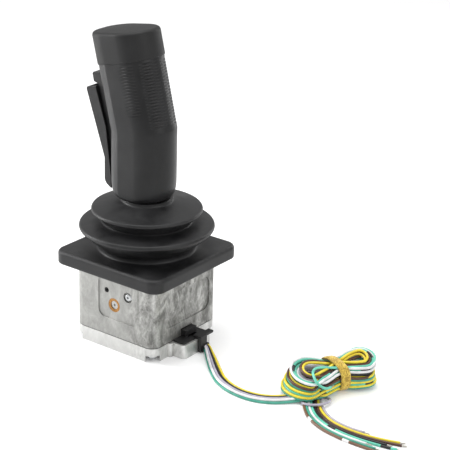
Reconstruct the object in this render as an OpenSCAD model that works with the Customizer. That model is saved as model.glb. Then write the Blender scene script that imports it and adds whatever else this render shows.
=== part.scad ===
// Industrial two-axis joystick with a deadman grip, a bellows boot and flying leads.
// Origin: centre of the base plate's underside. +Z up, the lever's trigger faces -X,
// the cable bay is on +X and the pitch axis runs along Y.

/* [Housing] */
// Side of the square housing
body_w = 80; // [76:1:84]
// Radius of the housing's upright corners
body_corner_r = 8.5; // [6:0.5:10]
// Height of the base plate
base_h = 12; // [11:0.5:14]
// Height of the housing's underside of flange above the base
flange_z = 64.4; // [63:0.2:68]
// Thickness of the mounting flange
flange_t = 4; // [3:0.5:5]
// Wall of the cast housing
wall = 4; // [3.5:0.5:5]
// Distance of the panel screw holes from the flange's edges
panel_edge = 5.5; // [5:0.25:6]
// Diameter of the panel screw holes
panel_hole_d = 5.5; // [4.5:0.1:6]
// Radius of the lever's opening in the housing's top
throat_r = 30; // [28:0.5:31]
// Depth of the shallow pockets in the four sides
pocket_depth = 0.8; // [0.4:0.1:1.2]

/* [Gimbal] */
// Height of the gimbal's centre above the base
pivot_z = 38; // [37:0.5:40]
// Radius of the pivot pins
pin_r = 3.5; // [3:0.1:4]
// Radial clearance of the pins in their bushes
pin_gap = 0.04; // [0.02:0.01:0.08]
// Wall of the bronze bushes
bush_wall = 2.2; // [1.5:0.1:3]
// Half size of the gimbal ring along X
ring_x = 26; // [25.5:0.5:27]
// Room for the pitch spring between the gimbal ring and the bosses
spring_room = 7.7; // [7.2:0.1:8.2]
// Half height of the gimbal ring
ring_h = 8; // [7.5:0.5:9]
// Half size of the ring's window along X
window_x = 18.5; // [18:0.5:19]
// Thickness of the gimbal ring's sides along Y
ring_side = 6; // [5.5:0.25:6.5]
// Half size of the hub along X
hub_x = 10; // [9:0.5:10.5]
// Gap along Y between the hub and the ring's window
hub_gap = 3; // [2.75:0.25:4]
// Half height of the hub
hub_h = 8.5; // [8:0.5:9]
// Diameter of the pitch spring's wire
pitch_wire = 1.6; // [1.2:0.1:1.8]
// Diameter of the roll spring's wire
roll_wire = 1.4; // [1:0.1:1.5]
// Radius of the lever shaft
shaft_r = 6; // [5:0.5:7]

/* [Boot] */
// Outer side of the boot's square skirt
skirt_w = 103.4; // [102.6:0.2:106]
// Wall of the skirt round the flange
skirt_wall = 2.4; // [2:0.1:2.8]
// Radius of the skirt's upright corners
skirt_corner_r = 10; // [8:0.5:12]
// Height of the skirt over the flange's underside
skirt_h = 10.5; // [9.5:0.5:12]
// Thickness of the skirt's top
skirt_top_t = 2.5; // [2:0.25:3]
// Radius of the skirt's upper edge
skirt_edge_r = 3; // [1:0.5:4]
// Wall of the bellows
bellows_wall = 2; // [1.5:0.1:2.4]
// Radius of the lower bellows rim
low_rim_r = 52.7; // [50:0.1:54]
// Height of the lower bellows rim
low_rim_z = 93.9; // [93:0.1:95]
// Radius of the upper bellows rim
top_rim_r = 43.2; // [41:0.1:45]
// Height of the upper bellows rim
top_rim_z = 107.3; // [107:0.1:108]
// Radius of the neck that closes on the lever
neck_r = 20; // [19:0.5:21]
// Radius of the waist between the rims
waist_r = 35.2; // [34:0.2:36]
// Radius of the waist over the skirt
foot_waist_r = 38.2; // [38:0.2:39]

/* [Grip] */
// Height of the grip's lower end
grip_z = 117; // [117:0.5:120]
// Height at which the grip starts to lean
bend_z = 171; // [168:1:174]
// Lean of the grip's upper part, degrees
lean = 13.9; // [12:0.1:15]
// Half width of the grip
grip_half_w = 20.75; // [20:0.25:22]
// Reach of the grip behind its axis
grip_back = 25.5; // [25:0.5:27]
// Reach of the grip in front of its axis
grip_front = 25.5; // [25:0.5:26.5]
// Radius of the grip's front corners
grip_front_r = 17.5; // [15:0.5:18.5]
// Length of the leaning part up to the cap
cap_s = 53.5; // [52:0.5:56]
// Pitch of the ribs on the palm side
rib_pitch = 2.3; // [2:0.1:3]
// Number of ribs
rib_count = 22; // [16:1:22]
// Depth of the grooves between the ribs
rib_depth = 0.6; // [0.3:0.1:0.9]
// Overhang of the cap over the grip
cap_lip = 0.7; // [0.3:0.1:1.2]
// Radius of the cap's upper edge
cap_edge_r = 3; // [2:0.5:5]
// Slope of the cap's top against the leaning axis, degrees
cap_tilt = 5.1; // [4:0.1:7]
// Height of the cap at its front
cap_front_h = 26.5; // [24:0.5:28]

/* [Trigger] */
// Half width of the lever's fixed frame
frame_half_w = 7; // [6:0.25:7.5]
// Side clearance between frame and trigger
trigger_gap = 0.4; // [0.3:0.05:0.6]
// Wall of the trigger's cheeks
trigger_cheek = 2.2; // [1.8:0.1:2.6]
// Wall of the trigger's face
trigger_face = 2.5; // [2:0.1:2.8]
// Radius of the trigger's pivot pin
trigger_pin_r = 1.1; // [0.9:0.05:1.2]

/* [Hidden] */

$fn = 64;
eps = 0.01;
// Colours of the real materials
cast_grey = [0.66, 0.66, 0.65];
plate_grey = [0.86, 0.86, 0.85];
steel = [0.72, 0.73, 0.74];
bronze = [0.72, 0.53, 0.28];
rubber_black = [0.15, 0.15, 0.15];
plastic_black = [0.2, 0.2, 0.2];
board_green = [0.08, 0.36, 0.2];

half_w = body_w / 2;
cavity_half = half_w - wall;
skirt_wall_gap = 0.3;
flange_w = skirt_w - 2 * (skirt_wall + skirt_wall_gap);
panel_pitch = flange_w - 2 * panel_edge;
flange_top = flange_z + flange_t;
skirt_top = flange_z + skirt_h;
roof_t = 6.4;
gasket_t = 0.6;
screw_pitch = body_w - 12;

// Cable bay on the base plate's +X side
bay_x = half_w + 13.2;
bay_y0 = -18.5;
bay_y1 = 15.5;
bay_wall = 2;
bay_floor = 2;
bay_seat = 2.4;
notch_y0 = -6.2;
notch_y1 = 7.6;
notch_top = 18;
gland_y0 = -2;
gland_y1 = 5.6;
gland_x = half_w + 17.4;

// Outlets and bosses of the pitch axis
bush_r = pin_r + bush_wall;
bush_out = half_w - pocket_depth - 0.1;
bush_len = 7.4;
boss_in = bush_out - bush_len;
ring_y = boss_in - spring_room;
window_y = ring_y - ring_side;
hub_y = window_y - hub_gap;
pin_out = half_w - pocket_depth - 0.7;
anchor_u = 17.1;
anchor_angle = 36.7;
anchor_r = 2.4;
anchor_x = anchor_u * cos(anchor_angle);
anchor_z = pivot_z + anchor_u * sin(anchor_angle);
blank_x = -7.5;
blank_z = pivot_z + 10.9;
peg_r = 1.5;
peg_gap = 0.15;
pitch_peg_u = anchor_u - 2 * anchor_r - 0.7;
roll_coil_r = bush_r + 0.9;
roll_peg_u = window_y - peg_r - 0.3;
hub_peg_u = roll_coil_r + roll_wire / 2 + peg_r + peg_gap;

// Boot: foot that is clamped on the flange
foot_lip_r = throat_r + 2;
foot_lip_t = 2;
foot_r = foot_waist_r + 1.8;
retainer_t = 1.6;
retainer_out = foot_waist_r - bellows_wall - 0.3;
retainer_screw_r = (foot_lip_r + retainer_out) / 2;
neck_z = grip_z - 2.4;
neck_top = grip_z - 0.3;
collar_r = 14;
collar_gap = 0.3;
rim_edge = 1.7;

// Grip axis and the trigger's outline
grip_x = -2.5;
front_x = grip_x - grip_front;
back_r = grip_half_w;
shaft_top = bend_z - 9;
trigger_x = front_x - 2;
trigger_z = 125;
cheek_out = frame_half_w + trigger_gap + trigger_cheek;
plunger_s = 2;
plunger_r = 2.4;
plunger_gap = 0.04;

// A square with rounded corners, centred
module rounded_square(w, r) {
    square([w, w - 2 * r], center = true);
    square([w - 2 * r, w], center = true);
    for (x = [-1, 1], y = [-1, 1])
        translate([x * (w / 2 - r), y * (w / 2 - r)])
            circle(r);
}

// A rectangle from corner to corner with rounded corners
module rounded_rect(x0, y0, x1, y1, r) {
    translate([x0 + r, y0])
        square([x1 - x0 - 2 * r, y1 - y0]);
    translate([x0, y0 + r])
        square([x1 - x0, y1 - y0 - 2 * r]);
    for (x = [x0 + r, x1 - r], y = [y0 + r, y1 - r])
        translate([x, y])
            circle(r);
}

// A cylinder that runs along X from x0 to x1, at y and z
module x_rod(r, x0, x1, y = 0, z = 0) {
    translate([x0, y, z])
        rotate([0, 90, 0])
            cylinder(r = r, h = x1 - x0);
}

// A cylinder that runs along Y from y0 to y1, at x and z
module y_rod(r, y0, y1, x = 0, z = 0) {
    translate([x, y0, z])
        rotate([-90, 0, 0])
            cylinder(r = r, h = y1 - y0);
}

// An outline drawn in X and Z, extruded from y0 to y1
module xz_plate(points, y0, y1) {
    translate([0, y1, 0])
        rotate([90, 0, 0])
            linear_extrude(y1 - y0)
                polygon(points);
}

// A pan-head screw, head up from z = 0, shank down
module pan_screw(head_r, head_h, shank_r, shank_l, drive_r) {
    difference() {
        union() {
            rotate_extrude()
                polygon([[0, 0], [head_r, 0], [head_r, head_h * 0.4],
                    [head_r * 0.8, head_h * 0.85], [head_r * 0.5, head_h], [0, head_h]]);
            translate([0, 0, -shank_l])
                cylinder(r = shank_r, h = shank_l + eps);
        }
        translate([0, 0, head_h * 0.45])
            cylinder(r = drive_r, h = head_h, $fn = 6);
    }
}

// Unit vector
function unit(v) = v / norm(v);
// Direction of a route at point i
function heading(p, i) =
    unit(p[min(i + 1, len(p) - 1)] - p[max(i - 1, 0)]);
// A sideways vector for a ring at point i
function sideways(t) =
    unit(cross(abs(t[2]) > 0.9 ? [1, 0, 0] : [0, 0, 1], t));
// A point on a smooth curve through four route points
function curve(a, b, c, d, t) =
    0.5 * (2 * b + (c - a) * t + (2 * a - 5 * b + 4 * c - d) * t * t
    + (3 * b - a - 3 * c + d) * t * t * t);
// A smooth route through hand-placed points
function smooth(p, n) = concat(
    [for (i = [0:len(p) - 2], k = [0:n - 1])
        curve(p[max(i - 1, 0)], p[i], p[i + 1], p[min(i + 2, len(p) - 1)], k / n)],
    [p[len(p) - 1]]);

// A tube swept along a route
module sweep(p, r, sides) {
    rings = [for (i = [0:len(p) - 1])
        let (t = heading(p, i), s = sideways(t), u = cross(t, s))
        [for (k = [0:sides - 1])
            p[i] + r * (cos(360 * k / sides) * s + sin(360 * k / sides) * u)]];
    last = (len(p) - 1) * sides;
    polyhedron(
        points = [for (ring = rings, q = ring) q],
        faces = concat(
            [[for (k = [0:sides - 1]) k]],
            [for (i = [0:len(p) - 2], k = [0:sides - 1])
                [i * sides + k, (i + 1) * sides + k, (i + 1) * sides + (k + 1) % sides]],
            [for (i = [0:len(p) - 2], k = [0:sides - 1])
                [i * sides + k, (i + 1) * sides + (k + 1) % sides,
                 i * sides + (k + 1) % sides]],
            [[for (k = [sides - 1:-1:0]) last + k]]),
        convexity = 8);
}

// Torsion spring about Z with its two legs along +X, one each side of a peg
module torsion_spring(coil_r, wire, lift, turns, leg, spread) {
    first = 50;
    last = 360 * turns + 360 - first;
    steps = round((last - first) / 18);
    coil = [for (i = [0:steps])
        let (a = first + (last - first) * i / steps)
        [coil_r * cos(a), coil_r * sin(a), lift * (a - first) / 360]];
    top = coil[steps][2];
    sweep(concat([[leg, spread, 0], [coil_r + 2, spread, 0]], coil,
        [[coil_r + 2, -spread, top], [leg, -spread, top]]), wire / 2, 8);
}

// ---------------------------------------------------------------- housing

// Pocket that runs up under the flange, on the -Y and +Y sides
module side_pocket() {
    translate([0, -half_w - 1, 0])
        rotate([-90, 0, 0])
            mirror([0, 1, 0])
                linear_extrude(1 + pocket_depth)
                    rounded_rect(-15.3, 26, 25.8, flange_z - 4, 6);
}

// Pocket on the +X and -X sides
module end_pocket() {
    translate([half_w - pocket_depth, 0, 0])
        rotate([90, 0, 90])
            linear_extrude(1 + pocket_depth)
                rounded_rect(-27, 24, 29, 52, 7);
}

module housing() color(cast_grey) {
    difference() {
        union() {
            translate([0, 0, base_h])
                linear_extrude(flange_top - base_h)
                    rounded_square(body_w, body_corner_r);
            translate([0, 0, flange_z])
                linear_extrude(flange_t)
                    rounded_square(flange_w, skirt_corner_r - 2);
        }
        difference() {
            translate([0, 0, base_h - 1])
                linear_extrude(flange_top - roof_t - base_h + 1)
                    rounded_square(2 * cavity_half, body_corner_r - wall);
            // bosses round the pitch bushes
            y_rod(bush_r + 3, -half_w, -boss_in, 0, pivot_z);
            y_rod(bush_r + 3, boss_in, half_w, 0, pivot_z);
            // corner pillars for the base screws
            for (x = [-1, 1], y = [-1, 1])
                translate([x * screw_pitch / 2, y * screw_pitch / 2, 0])
                    cylinder(r = 5.2, h = flange_z);
        }
        translate([0, 0, flange_z - 10])
            cylinder(r = throat_r, h = flange_t + 12);
        side_pocket();
        rotate([0, 0, 180])
            side_pocket();
        end_pocket();
        rotate([0, 0, 180])
            end_pocket();
        y_rod(bush_r, -half_w - 1, -boss_in + 1, 0, pivot_z);
        y_rod(bush_r, boss_in - 1, half_w + 1, 0, pivot_z);
        // counterbored spring-anchor screw and its stepped hole
        y_rod(4.3, -half_w - 1, -half_w + 2.6, anchor_x, anchor_z);
        y_rod(2.1, -half_w - 1, -half_w + wall + 1, anchor_x, anchor_z);
        // blanked hole
        y_rod(2.2, -half_w - 1, -half_w + wall + 1, blank_x, blank_z);
        // panel screw holes
        for (x = [-1, 1], y = [-1, 1])
            translate([x * panel_pitch / 2, y * panel_pitch / 2, flange_z - 1])
                cylinder(d = panel_hole_d, h = flange_t + 2);
        // base screw holes
        for (x = [-1, 1], y = [-1, 1])
            translate([x * screw_pitch / 2, y * screw_pitch / 2, base_h - 1])
                cylinder(r = 1.95, h = 15);
        // retainer screw holes
        for (i = [0:5])
            rotate([0, 0, 30 + 60 * i])
                translate([retainer_screw_r, 0, flange_top - 5])
                    cylinder(r = 1.25, h = 6);
        // cable way into the bay
        translate([cavity_half - 1, notch_y0, base_h - 1])
            cube([wall + 2, notch_y1 - notch_y0, notch_top - base_h + 1]);
    }
}

module base_plate() color(plate_grey) {
    foot_z = 5;
    difference() {
        union() {
            linear_extrude(base_h - gasket_t)
                rounded_square(body_w, body_corner_r);
            linear_extrude(base_h - gasket_t)
                rounded_rect(half_w - 12, bay_y0, bay_x, bay_y1, 3.5);
            // rib where the bay springs from the plate
            translate([half_w + 0.6, bay_y0 - 1.6, 0])
                cylinder(r = 2, h = base_h - gasket_t);
        }
        // corner notches that hold the screw heads
        for (x = [-1, 1], y = [-1, 1])
            translate([x * screw_pitch / 2, y * screw_pitch / 2, -1]) {
                cylinder(r = 5.8, h = foot_z + 1);
                translate([x < 0 ? -20 : -2, y < 0 ? -20 : -2, 0])
                    cube([22, 22, foot_z + 1]);
            }
        for (x = [-1, 1], y = [-1, 1])
            translate([x * screw_pitch / 2, y * screw_pitch / 2, -1])
                cylinder(r = 2.3, h = base_h + 2);
        // hollow top
        translate([0, 0, 6])
            linear_extrude(base_h)
                rounded_square(2 * cavity_half - 20, 6);
        // bay hollow with a step that seats the cover
        translate([0, 0, bay_floor])
            linear_extrude(base_h)
                rounded_rect(half_w - 8, bay_y0 + bay_wall, bay_x - bay_wall, bay_y1 - bay_wall, 2);
        // slot for the gland in the bay's outer wall
        translate([bay_x - 5, gland_y0, 1])
            cube([6, gland_y1 - gland_y0, base_h]);
        // cable way under the housing's wall
        translate([cavity_half - 12, notch_y0, 6])
            cube([wall + 12, notch_y1 - notch_y0, base_h]);
    }
    // pillars that carry the sensor board
    for (x = [-1, 1], y = [-1, 1])
        translate([x * board_post, y * board_post, 6 - eps])
            difference() {
                cylinder(r = 3, h = 7 + eps);
                translate([0, 0, 1])
                    cylinder(r = 1.25, h = 7);
            }
}

module base_gasket() color(rubber_black) {
    translate([0, 0, base_h - gasket_t])
        linear_extrude(gasket_t)
            difference() {
                rounded_square(body_w - 1, body_corner_r - 0.5);
                rounded_square(2 * cavity_half, body_corner_r - wall);
                for (x = [-1, 1], y = [-1, 1])
                    translate([x * screw_pitch / 2, y * screw_pitch / 2])
                        circle(2.3);
                translate([cavity_half - 1, notch_y0])
                    square([wall + 2, notch_y1 - notch_y0]);
            }
}

module base_screws() color(steel) {
    for (x = [-1, 1], y = [-1, 1])
        translate([x * screw_pitch / 2, y * screw_pitch / 2, 5])
            mirror([0, 0, 1])
                pan_screw(4, 3.2, 1.9, 16, 1.4);
}

module pitch_bush() {
    difference() {
        y_rod(bush_r, -bush_out, -boss_in + 0.8, 0, pivot_z);
        y_rod(pin_r, -bush_out - 1, -boss_in + 2, 0, pivot_z);
    }
}

module pitch_bush_front() color(bronze) pitch_bush();
module pitch_bush_rear() color(bronze) mirror([0, 1, 0]) pitch_bush();

// Fixed post that the pitch spring's legs bear on
module spring_anchor() color(steel) {
    difference() {
        y_rod(anchor_r, -cavity_half, -ring_y - 0.8, anchor_x, anchor_z);
        y_rod(1.6, -cavity_half - 1, -cavity_half + 7, anchor_x, anchor_z);
    }
}

module anchor_screw() color(steel) {
    translate([anchor_x, -half_w + 2.6, anchor_z])
        rotate([90, 0, 0])
            pan_screw(3.3, 1.9, 1.55, wall + 3, 1.2);
}

module blanking_screw() color(plastic_black) {
    difference() {
        y_rod(2.2, -half_w + pocket_depth + 0.6, -half_w + wall, blank_x, blank_z);
        translate([blank_x, -half_w + pocket_depth + 2.2, blank_z])
            rotate([90, 0, 0])
                cylinder(r = 1.2, h = 4, $fn = 6);
    }
}

// ---------------------------------------------------------------- sensing

board_z = 13;
board_t = 1.6;
board_post = cavity_half - 16;
board_w = 2 * board_post + 10;

module sensor_board() color(board_green) {
    translate([0, 0, board_z])
        linear_extrude(board_t)
            difference() {
                rounded_square(board_w, 3);
                for (x = [-1, 1], y = [-1, 1])
                    translate([x * board_post, y * board_post])
                        circle(1.6);
            }
}

module hall_sensors() color(plastic_black) {
    for (a = [0, 90, 180, 270])
        rotate([0, 0, a])
            translate([5.5, -2, board_z + board_t])
                cube([5, 4, 1.3]);
}

module board_screws() color(steel) {
    for (x = [-1, 1], y = [-1, 1])
        translate([x * board_post, y * board_post, board_z + board_t])
            pan_screw(2.6, 1.6, 1.2, 6, 0.9);
}

module board_header() color(plate_grey) {
    translate([14, -7.5, board_z + board_t])
        difference() {
            cube([6, 15, 4.4]);
            translate([1, 1, 1])
                cube([4, 13, 4]);
        }
}

// ---------------------------------------------------------------- cable bay

// Lid of the cable bay, with the hump that fills the housing's cable way
module bay_cover() color(plastic_black) {
    gap = 0.1;
    difference() {
        union() {
            translate([0, 0, base_h - bay_seat])
                linear_extrude(bay_seat + 0.4)
                    rounded_rect(half_w + gap, bay_y0 + bay_wall + gap,
                        bay_x - bay_wall - gap, bay_y1 - bay_wall - gap, 2);
            translate([half_w - wall + 0.5, notch_y0 + gap, base_h - bay_seat])
                cube([8, notch_y1 - notch_y0 - 2 * gap, notch_top - base_h + bay_seat - gap - 0.6]);
        }
        translate([half_w - wall - 1, notch_y0 + 2, 0])
            cube([wall + 8, notch_y1 - notch_y0 - 4, base_h - bay_seat + 3]);
        translate([bay_x - bay_wall - 3, gland_y0 - gap, 0])
            cube([4, gland_y1 - gland_y0 + 2 * gap, 20]);
    }
}

// Strain relief that the leads leave through, low on the +X side
module cable_gland() color(plastic_black) {
    gap = 0.05;
    difference() {
        union() {
            translate([bay_x - 4.6, gland_y0 + gap, 1])
                cube([gland_x - bay_x + 4.6 - 0.8, gland_y1 - gland_y0 - 2 * gap, base_h + 1]);
            // top plate over the bay's rim
            translate([bay_x - 2.2, gland_y0 + gap, base_h + 0.4])
                cube([gland_x - bay_x + 0.6, bay_y1 - gland_y0 - 1, 1.8]);
            // hook at the foot, where the leads turn out
            translate([bay_x + 0.3, gland_y0 + 1.4, 1])
                cube([gland_x - bay_x - 0.3, 8.2, 5.4]);
        }
        // way for the leads
        translate([bay_x - 5, gland_y0 + 2.2, 2.2])
            cube([3.4, 3.4, 7]);
    }
}

// ---------------------------------------------------------------- boot

module skirt_slab(inset, z, h) {
    for (x = [-1, 1], y = [-1, 1])
        translate([x * (skirt_w / 2 - skirt_corner_r), y * (skirt_w / 2 - skirt_corner_r), z])
            cylinder(r = skirt_corner_r - inset, h = h, $fn = 32);
}

// Bellows wall, from the clamped foot to the neck
bellows_outline = concat(
    [[neck_r, neck_top], [neck_r, neck_z],
     [top_rim_r - rim_edge, top_rim_z + rim_edge - 0.1],
     [top_rim_r - 0.6, top_rim_z + 1.1],
     [top_rim_r, top_rim_z],
     [top_rim_r - 0.5, top_rim_z - 1.2],
     [waist_r + 0.6, low_rim_z + 5.4],
     [waist_r, low_rim_z + 4.7],
     [waist_r + 0.7, low_rim_z + 4.1],
     [low_rim_r - rim_edge, low_rim_z + rim_edge],
     [low_rim_r - 0.5, low_rim_z + 1.2],
     [low_rim_r, low_rim_z],
     [low_rim_r - 0.5, low_rim_z - 1.2],
     [foot_waist_r + 8, skirt_top + 11],
     [foot_waist_r + 1.6, skirt_top + 6],
     [foot_waist_r + 0.2, skirt_top + 4],
     [foot_waist_r, skirt_top + 3],
     [foot_waist_r + 0.6, skirt_top + 1.4],
     [foot_waist_r + 2, skirt_top + 0.4],
     [foot_waist_r + 4, skirt_top - 0.1],
     [foot_waist_r + 4, skirt_top - skirt_top_t],
     [foot_r, skirt_top - skirt_top_t],
     [foot_r, flange_top],
     [foot_lip_r, flange_top],
     [foot_lip_r, flange_top + foot_lip_t],
     [foot_waist_r - bellows_wall, flange_top + foot_lip_t]],
    [[foot_waist_r - bellows_wall, skirt_top + 3.4],
     [low_rim_r - 2.2 * bellows_wall, low_rim_z - 0.1],
     [waist_r - bellows_wall, low_rim_z + 5.2],
     [top_rim_r - 2.2 * bellows_wall, top_rim_z - 0.2],
     [collar_r + collar_gap, neck_z - 0.9 * bellows_wall],
     [collar_r + collar_gap, neck_top]]);

module boot() color(rubber_black) {
    difference() {
        hull() {
            skirt_slab(0, flange_z, skirt_h - skirt_edge_r);
            skirt_slab(skirt_edge_r * 0.13, skirt_top - skirt_edge_r * 0.5, eps);
            skirt_slab(skirt_edge_r * 0.5, skirt_top - skirt_edge_r * 0.13, eps);
            skirt_slab(skirt_edge_r, skirt_top - eps, eps);
        }
        translate([0, 0, flange_z - 1])
            linear_extrude(skirt_h - skirt_top_t + 1)
                rounded_square(flange_w + 2 * skirt_wall_gap, skirt_corner_r - 1.7);
        translate([0, 0, flange_z - 1])
            cylinder(r = foot_waist_r + 1, h = skirt_h + 2);
    }
    difference() {
        rotate_extrude($fn = 96)
            polygon(bellows_outline);
        // holes in the clamped lip
        for (i = [0:5])
            rotate([0, 0, 30 + 60 * i])
                translate([retainer_screw_r, 0, flange_top - 1])
                    cylinder(r = 1.5, h = foot_lip_t + 2);
    }
}

module boot_retainer() color(steel) {
    translate([0, 0, flange_top + foot_lip_t])
        difference() {
            cylinder(r = retainer_out, h = retainer_t);
            translate([0, 0, -1])
                cylinder(r = throat_r, h = retainer_t + 2);
            for (i = [0:5])
                rotate([0, 0, 30 + 60 * i])
                    translate([retainer_screw_r, 0, -1])
                        cylinder(r = 1.5, h = retainer_t + 2);
        }
}

module retainer_screws() color(steel) {
    for (i = [0:5])
        rotate([0, 0, 30 + 60 * i])
            translate([retainer_screw_r, 0, flange_top + foot_lip_t + retainer_t])
                pan_screw(1.9, 1.5, 1.2, 7, 0.7);
}

// ---------------------------------------------------------------- gimbal

module gimbal_ring() color(steel) {
    translate([0, 0, pivot_z])
        difference() {
            union() {
                translate([0, 0, -ring_h])
                    linear_extrude(2 * ring_h)
                        difference() {
                            rounded_rect(-ring_x, -ring_y, ring_x, ring_y, 5);
                            rounded_rect(-window_x, -window_y, window_x, window_y, 2);
                        }
                // lug that carries the pitch spring's peg
                rotate([0, -anchor_angle, 0])
                    y_rod(anchor_r + 2, -ring_y, -window_y, pitch_peg_u);
            }
            y_rod(pin_r, -ring_y - 1, ring_y + 1);
            x_rod(bush_r, -ring_x - 1, ring_x + 1);
            rotate([0, -anchor_angle, 0])
                y_rod(anchor_r, -ring_y - 1, -ring_y + 4, pitch_peg_u);
            x_rod(peg_r, window_x - 1, window_x + 4, roll_peg_u);
        }
}

module pitch_pins() color(steel) {
    for (m = [0, 1])
        mirror([0, m, 0])
            difference() {
                y_rod(pin_r - pin_gap, -pin_out, -ring_y + 0.2, 0, pivot_z);
                y_rod(1, -pin_out - 1, -pin_out + 0.8, 0, pivot_z);
            }
    for (m = [0, 1])
        mirror([0, m, 0])
            y_rod(pin_r, -ring_y, -window_y - 0.3, 0, pivot_z);
}

module roll_bushes() color(bronze) {
    for (m = [0, 1])
        mirror([m, 0, 0])
            difference() {
                x_rod(bush_r, window_x - 0.4, ring_x, 0, pivot_z);
                x_rod(pin_r, window_x - 1, ring_x + 1, 0, pivot_z);
            }
}

// Pegs that the springs' legs drive
module spring_pegs() color(steel) {
    translate([0, 0, pivot_z]) {
        rotate([0, -anchor_angle, 0])
            y_rod(anchor_r, -boss_in + 1.2, -ring_y + 4, pitch_peg_u);
        x_rod(peg_r, hub_x + 1, window_x + 4, roll_peg_u);
    }
}

// Springs lie between a fixed face and the ring, legs astride both pegs
module pitch_spring() color(steel) {
    translate([0, -ring_y - 1.4, pivot_z])
        rotate([0, -anchor_angle, 0])
            rotate([90, 0, 0])
                torsion_spring(bush_r + 2.2, pitch_wire, 1.62, 2, anchor_u + 3,
                    anchor_r + pitch_wire / 2 + peg_gap);
}

module roll_spring() color(steel) {
    translate([hub_x + 1, 0, pivot_z])
        rotate([0, 90, 0])
            rotate([0, 0, 90])
                torsion_spring(roll_coil_r, roll_wire, 1.45, 3, window_y - 0.6,
                    peg_r + roll_wire / 2 + peg_gap);
}

// ---------------------------------------------------------------- lever

module pivot_hub() color(cast_grey) {
    difference() {
        union() {
            translate([0, 0, pivot_z - hub_h])
                linear_extrude(2 * hub_h)
                    rounded_rect(-hub_x, -hub_y, hub_x, hub_y, 3);
            translate([0, 0, pivot_z])
                cylinder(r = shaft_r + 3, h = 22);
            translate([0, 0, pivot_z - hub_h - 3])
                cylinder(r = 6, h = 4);
        }
        x_rod(pin_r, -hub_x - 1, hub_x + 1, 0, pivot_z);
        translate([0, 0, pivot_z + pin_r + 2])
            cylinder(r = shaft_r, h = 30);
        x_rod(peg_r, hub_x - 4, hub_x + 1, 0, pivot_z);
        x_rod(peg_r, hub_x - 4, hub_x + 1, hub_peg_u, pivot_z);
        x_rod(1.5, -20, 20, 0, pivot_z + 17);
    }
}

module hub_peg() color(steel) {
    x_rod(peg_r, hub_x - 4, hub_x + 6.6, hub_peg_u, pivot_z);
}

module roll_pin() color(steel) {
    x_rod(pin_r, -hub_x - 1, hub_x + 1, 0, pivot_z);
    for (m = [0, 1])
        mirror([m, 0, 0])
            x_rod(pin_r - pin_gap, hub_x + 0.8, ring_x + 0.6, 0, pivot_z);
}

module lever_shaft() color(steel) {
    difference() {
        union() {
            translate([0, 0, pivot_z + pin_r + 2])
                cylinder(r = shaft_r, h = shaft_top - pivot_z - pin_r - 3);
            translate([0, 0, shaft_top - 1])
                cylinder(r1 = shaft_r, r2 = shaft_r - 1, h = 1);
        }
        x_rod(1.5, -20, 20, 0, pivot_z + 17);
        x_rod(2, -20, 20, 0, bend_z - 20);
    }
}

// Cross pin that locks the shaft in the hub
module shaft_dowel() color(steel) {
    x_rod(1.5, -shaft_r - 3, shaft_r + 3, 0, pivot_z + 17);
}

// Cross pin that locks the grip on the shaft
module grip_dowel() color(steel) {
    x_rod(2, front_x + 0.3, 13.8, 0, bend_z - 20);
}

module magnet_holder() color(plastic_black) {
    translate([0, 0, pivot_z - 20])
        difference() {
            cylinder(r = 5.5, h = 20 - hub_h - 3);
            translate([0, 0, -1])
                cylinder(r = 3.5, h = 4.4);
        }
}

module magnet() color(steel) {
    translate([0, 0, pivot_z - 20])
        cylinder(r = 3.5, h = 3.4);
}

// Bush on the shaft that the boot's neck closes on
module boot_collar() color(plastic_black) {
    difference() {
        translate([0, 0, grip_z - 8.5])
            cylinder(r = collar_r, h = 8.5);
        translate([0, 0, grip_z - 10])
            cylinder(r = shaft_r, h = 12);
    }
}

// Section of the grip: round at the back, flatter at the front
module grip_section(inset = 0, sides = 64) {
    corner = grip_front_r - inset;
    translate([grip_back - back_r, 0])
        circle(back_r - inset, $fn = sides);
    translate([grip_front_r - grip_front, inset - grip_half_w])
        square([grip_front + grip_back - back_r - grip_front_r, 2 * (grip_half_w - inset)]);
    translate([inset - grip_front, grip_front_r - grip_half_w])
        square([grip_front_r, 2 * (grip_half_w - grip_front_r)]);
    for (y = [-1, 1])
        translate([grip_front_r - grip_front, y * (grip_half_w - grip_front_r)])
            circle(corner, $fn = sides);
}

// Puts children into the leaning part's frame: its Z runs along the leaning axis
module leaning() {
    translate([grip_x, 0, bend_z])
        rotate([0, -lean, 0])
            children();
}

// Everything below the plane in which the straight and the leaning part meet
module below_bend() {
    translate([grip_x, 0, bend_z])
        rotate([0, -lean / 2, 0])
            translate([-60, -60, -120])
                cube([120, 120, 120]);
}

// Sector that a band of ribs fills, between two angles from straight back
module rib_sector(a0, a1) {
    reach = 60;
    polygon([[0, 0], reach * [cos(a0), sin(a0)],
        reach * [cos((a0 + a1) / 2), sin((a0 + a1) / 2)] * 1.1, reach * [cos(a1), sin(a1)]]);
}

// One groove's outline: four bands, two each side of a smooth spine
module rib_groove() {
    difference() {
        intersection() {
            difference() {
                grip_section(-1);
                grip_section(rib_depth);
            }
            translate([grip_back - back_r, 0])
                union() {
                    for (m = [0, 1])
                        mirror([0, m]) {
                            rib_sector(14, 65);
                            rib_sector(77, 112);
                        }
                }
        }
    }
}

rib_s0 = cap_s - 2.2 - rib_count * rib_pitch;

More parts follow.
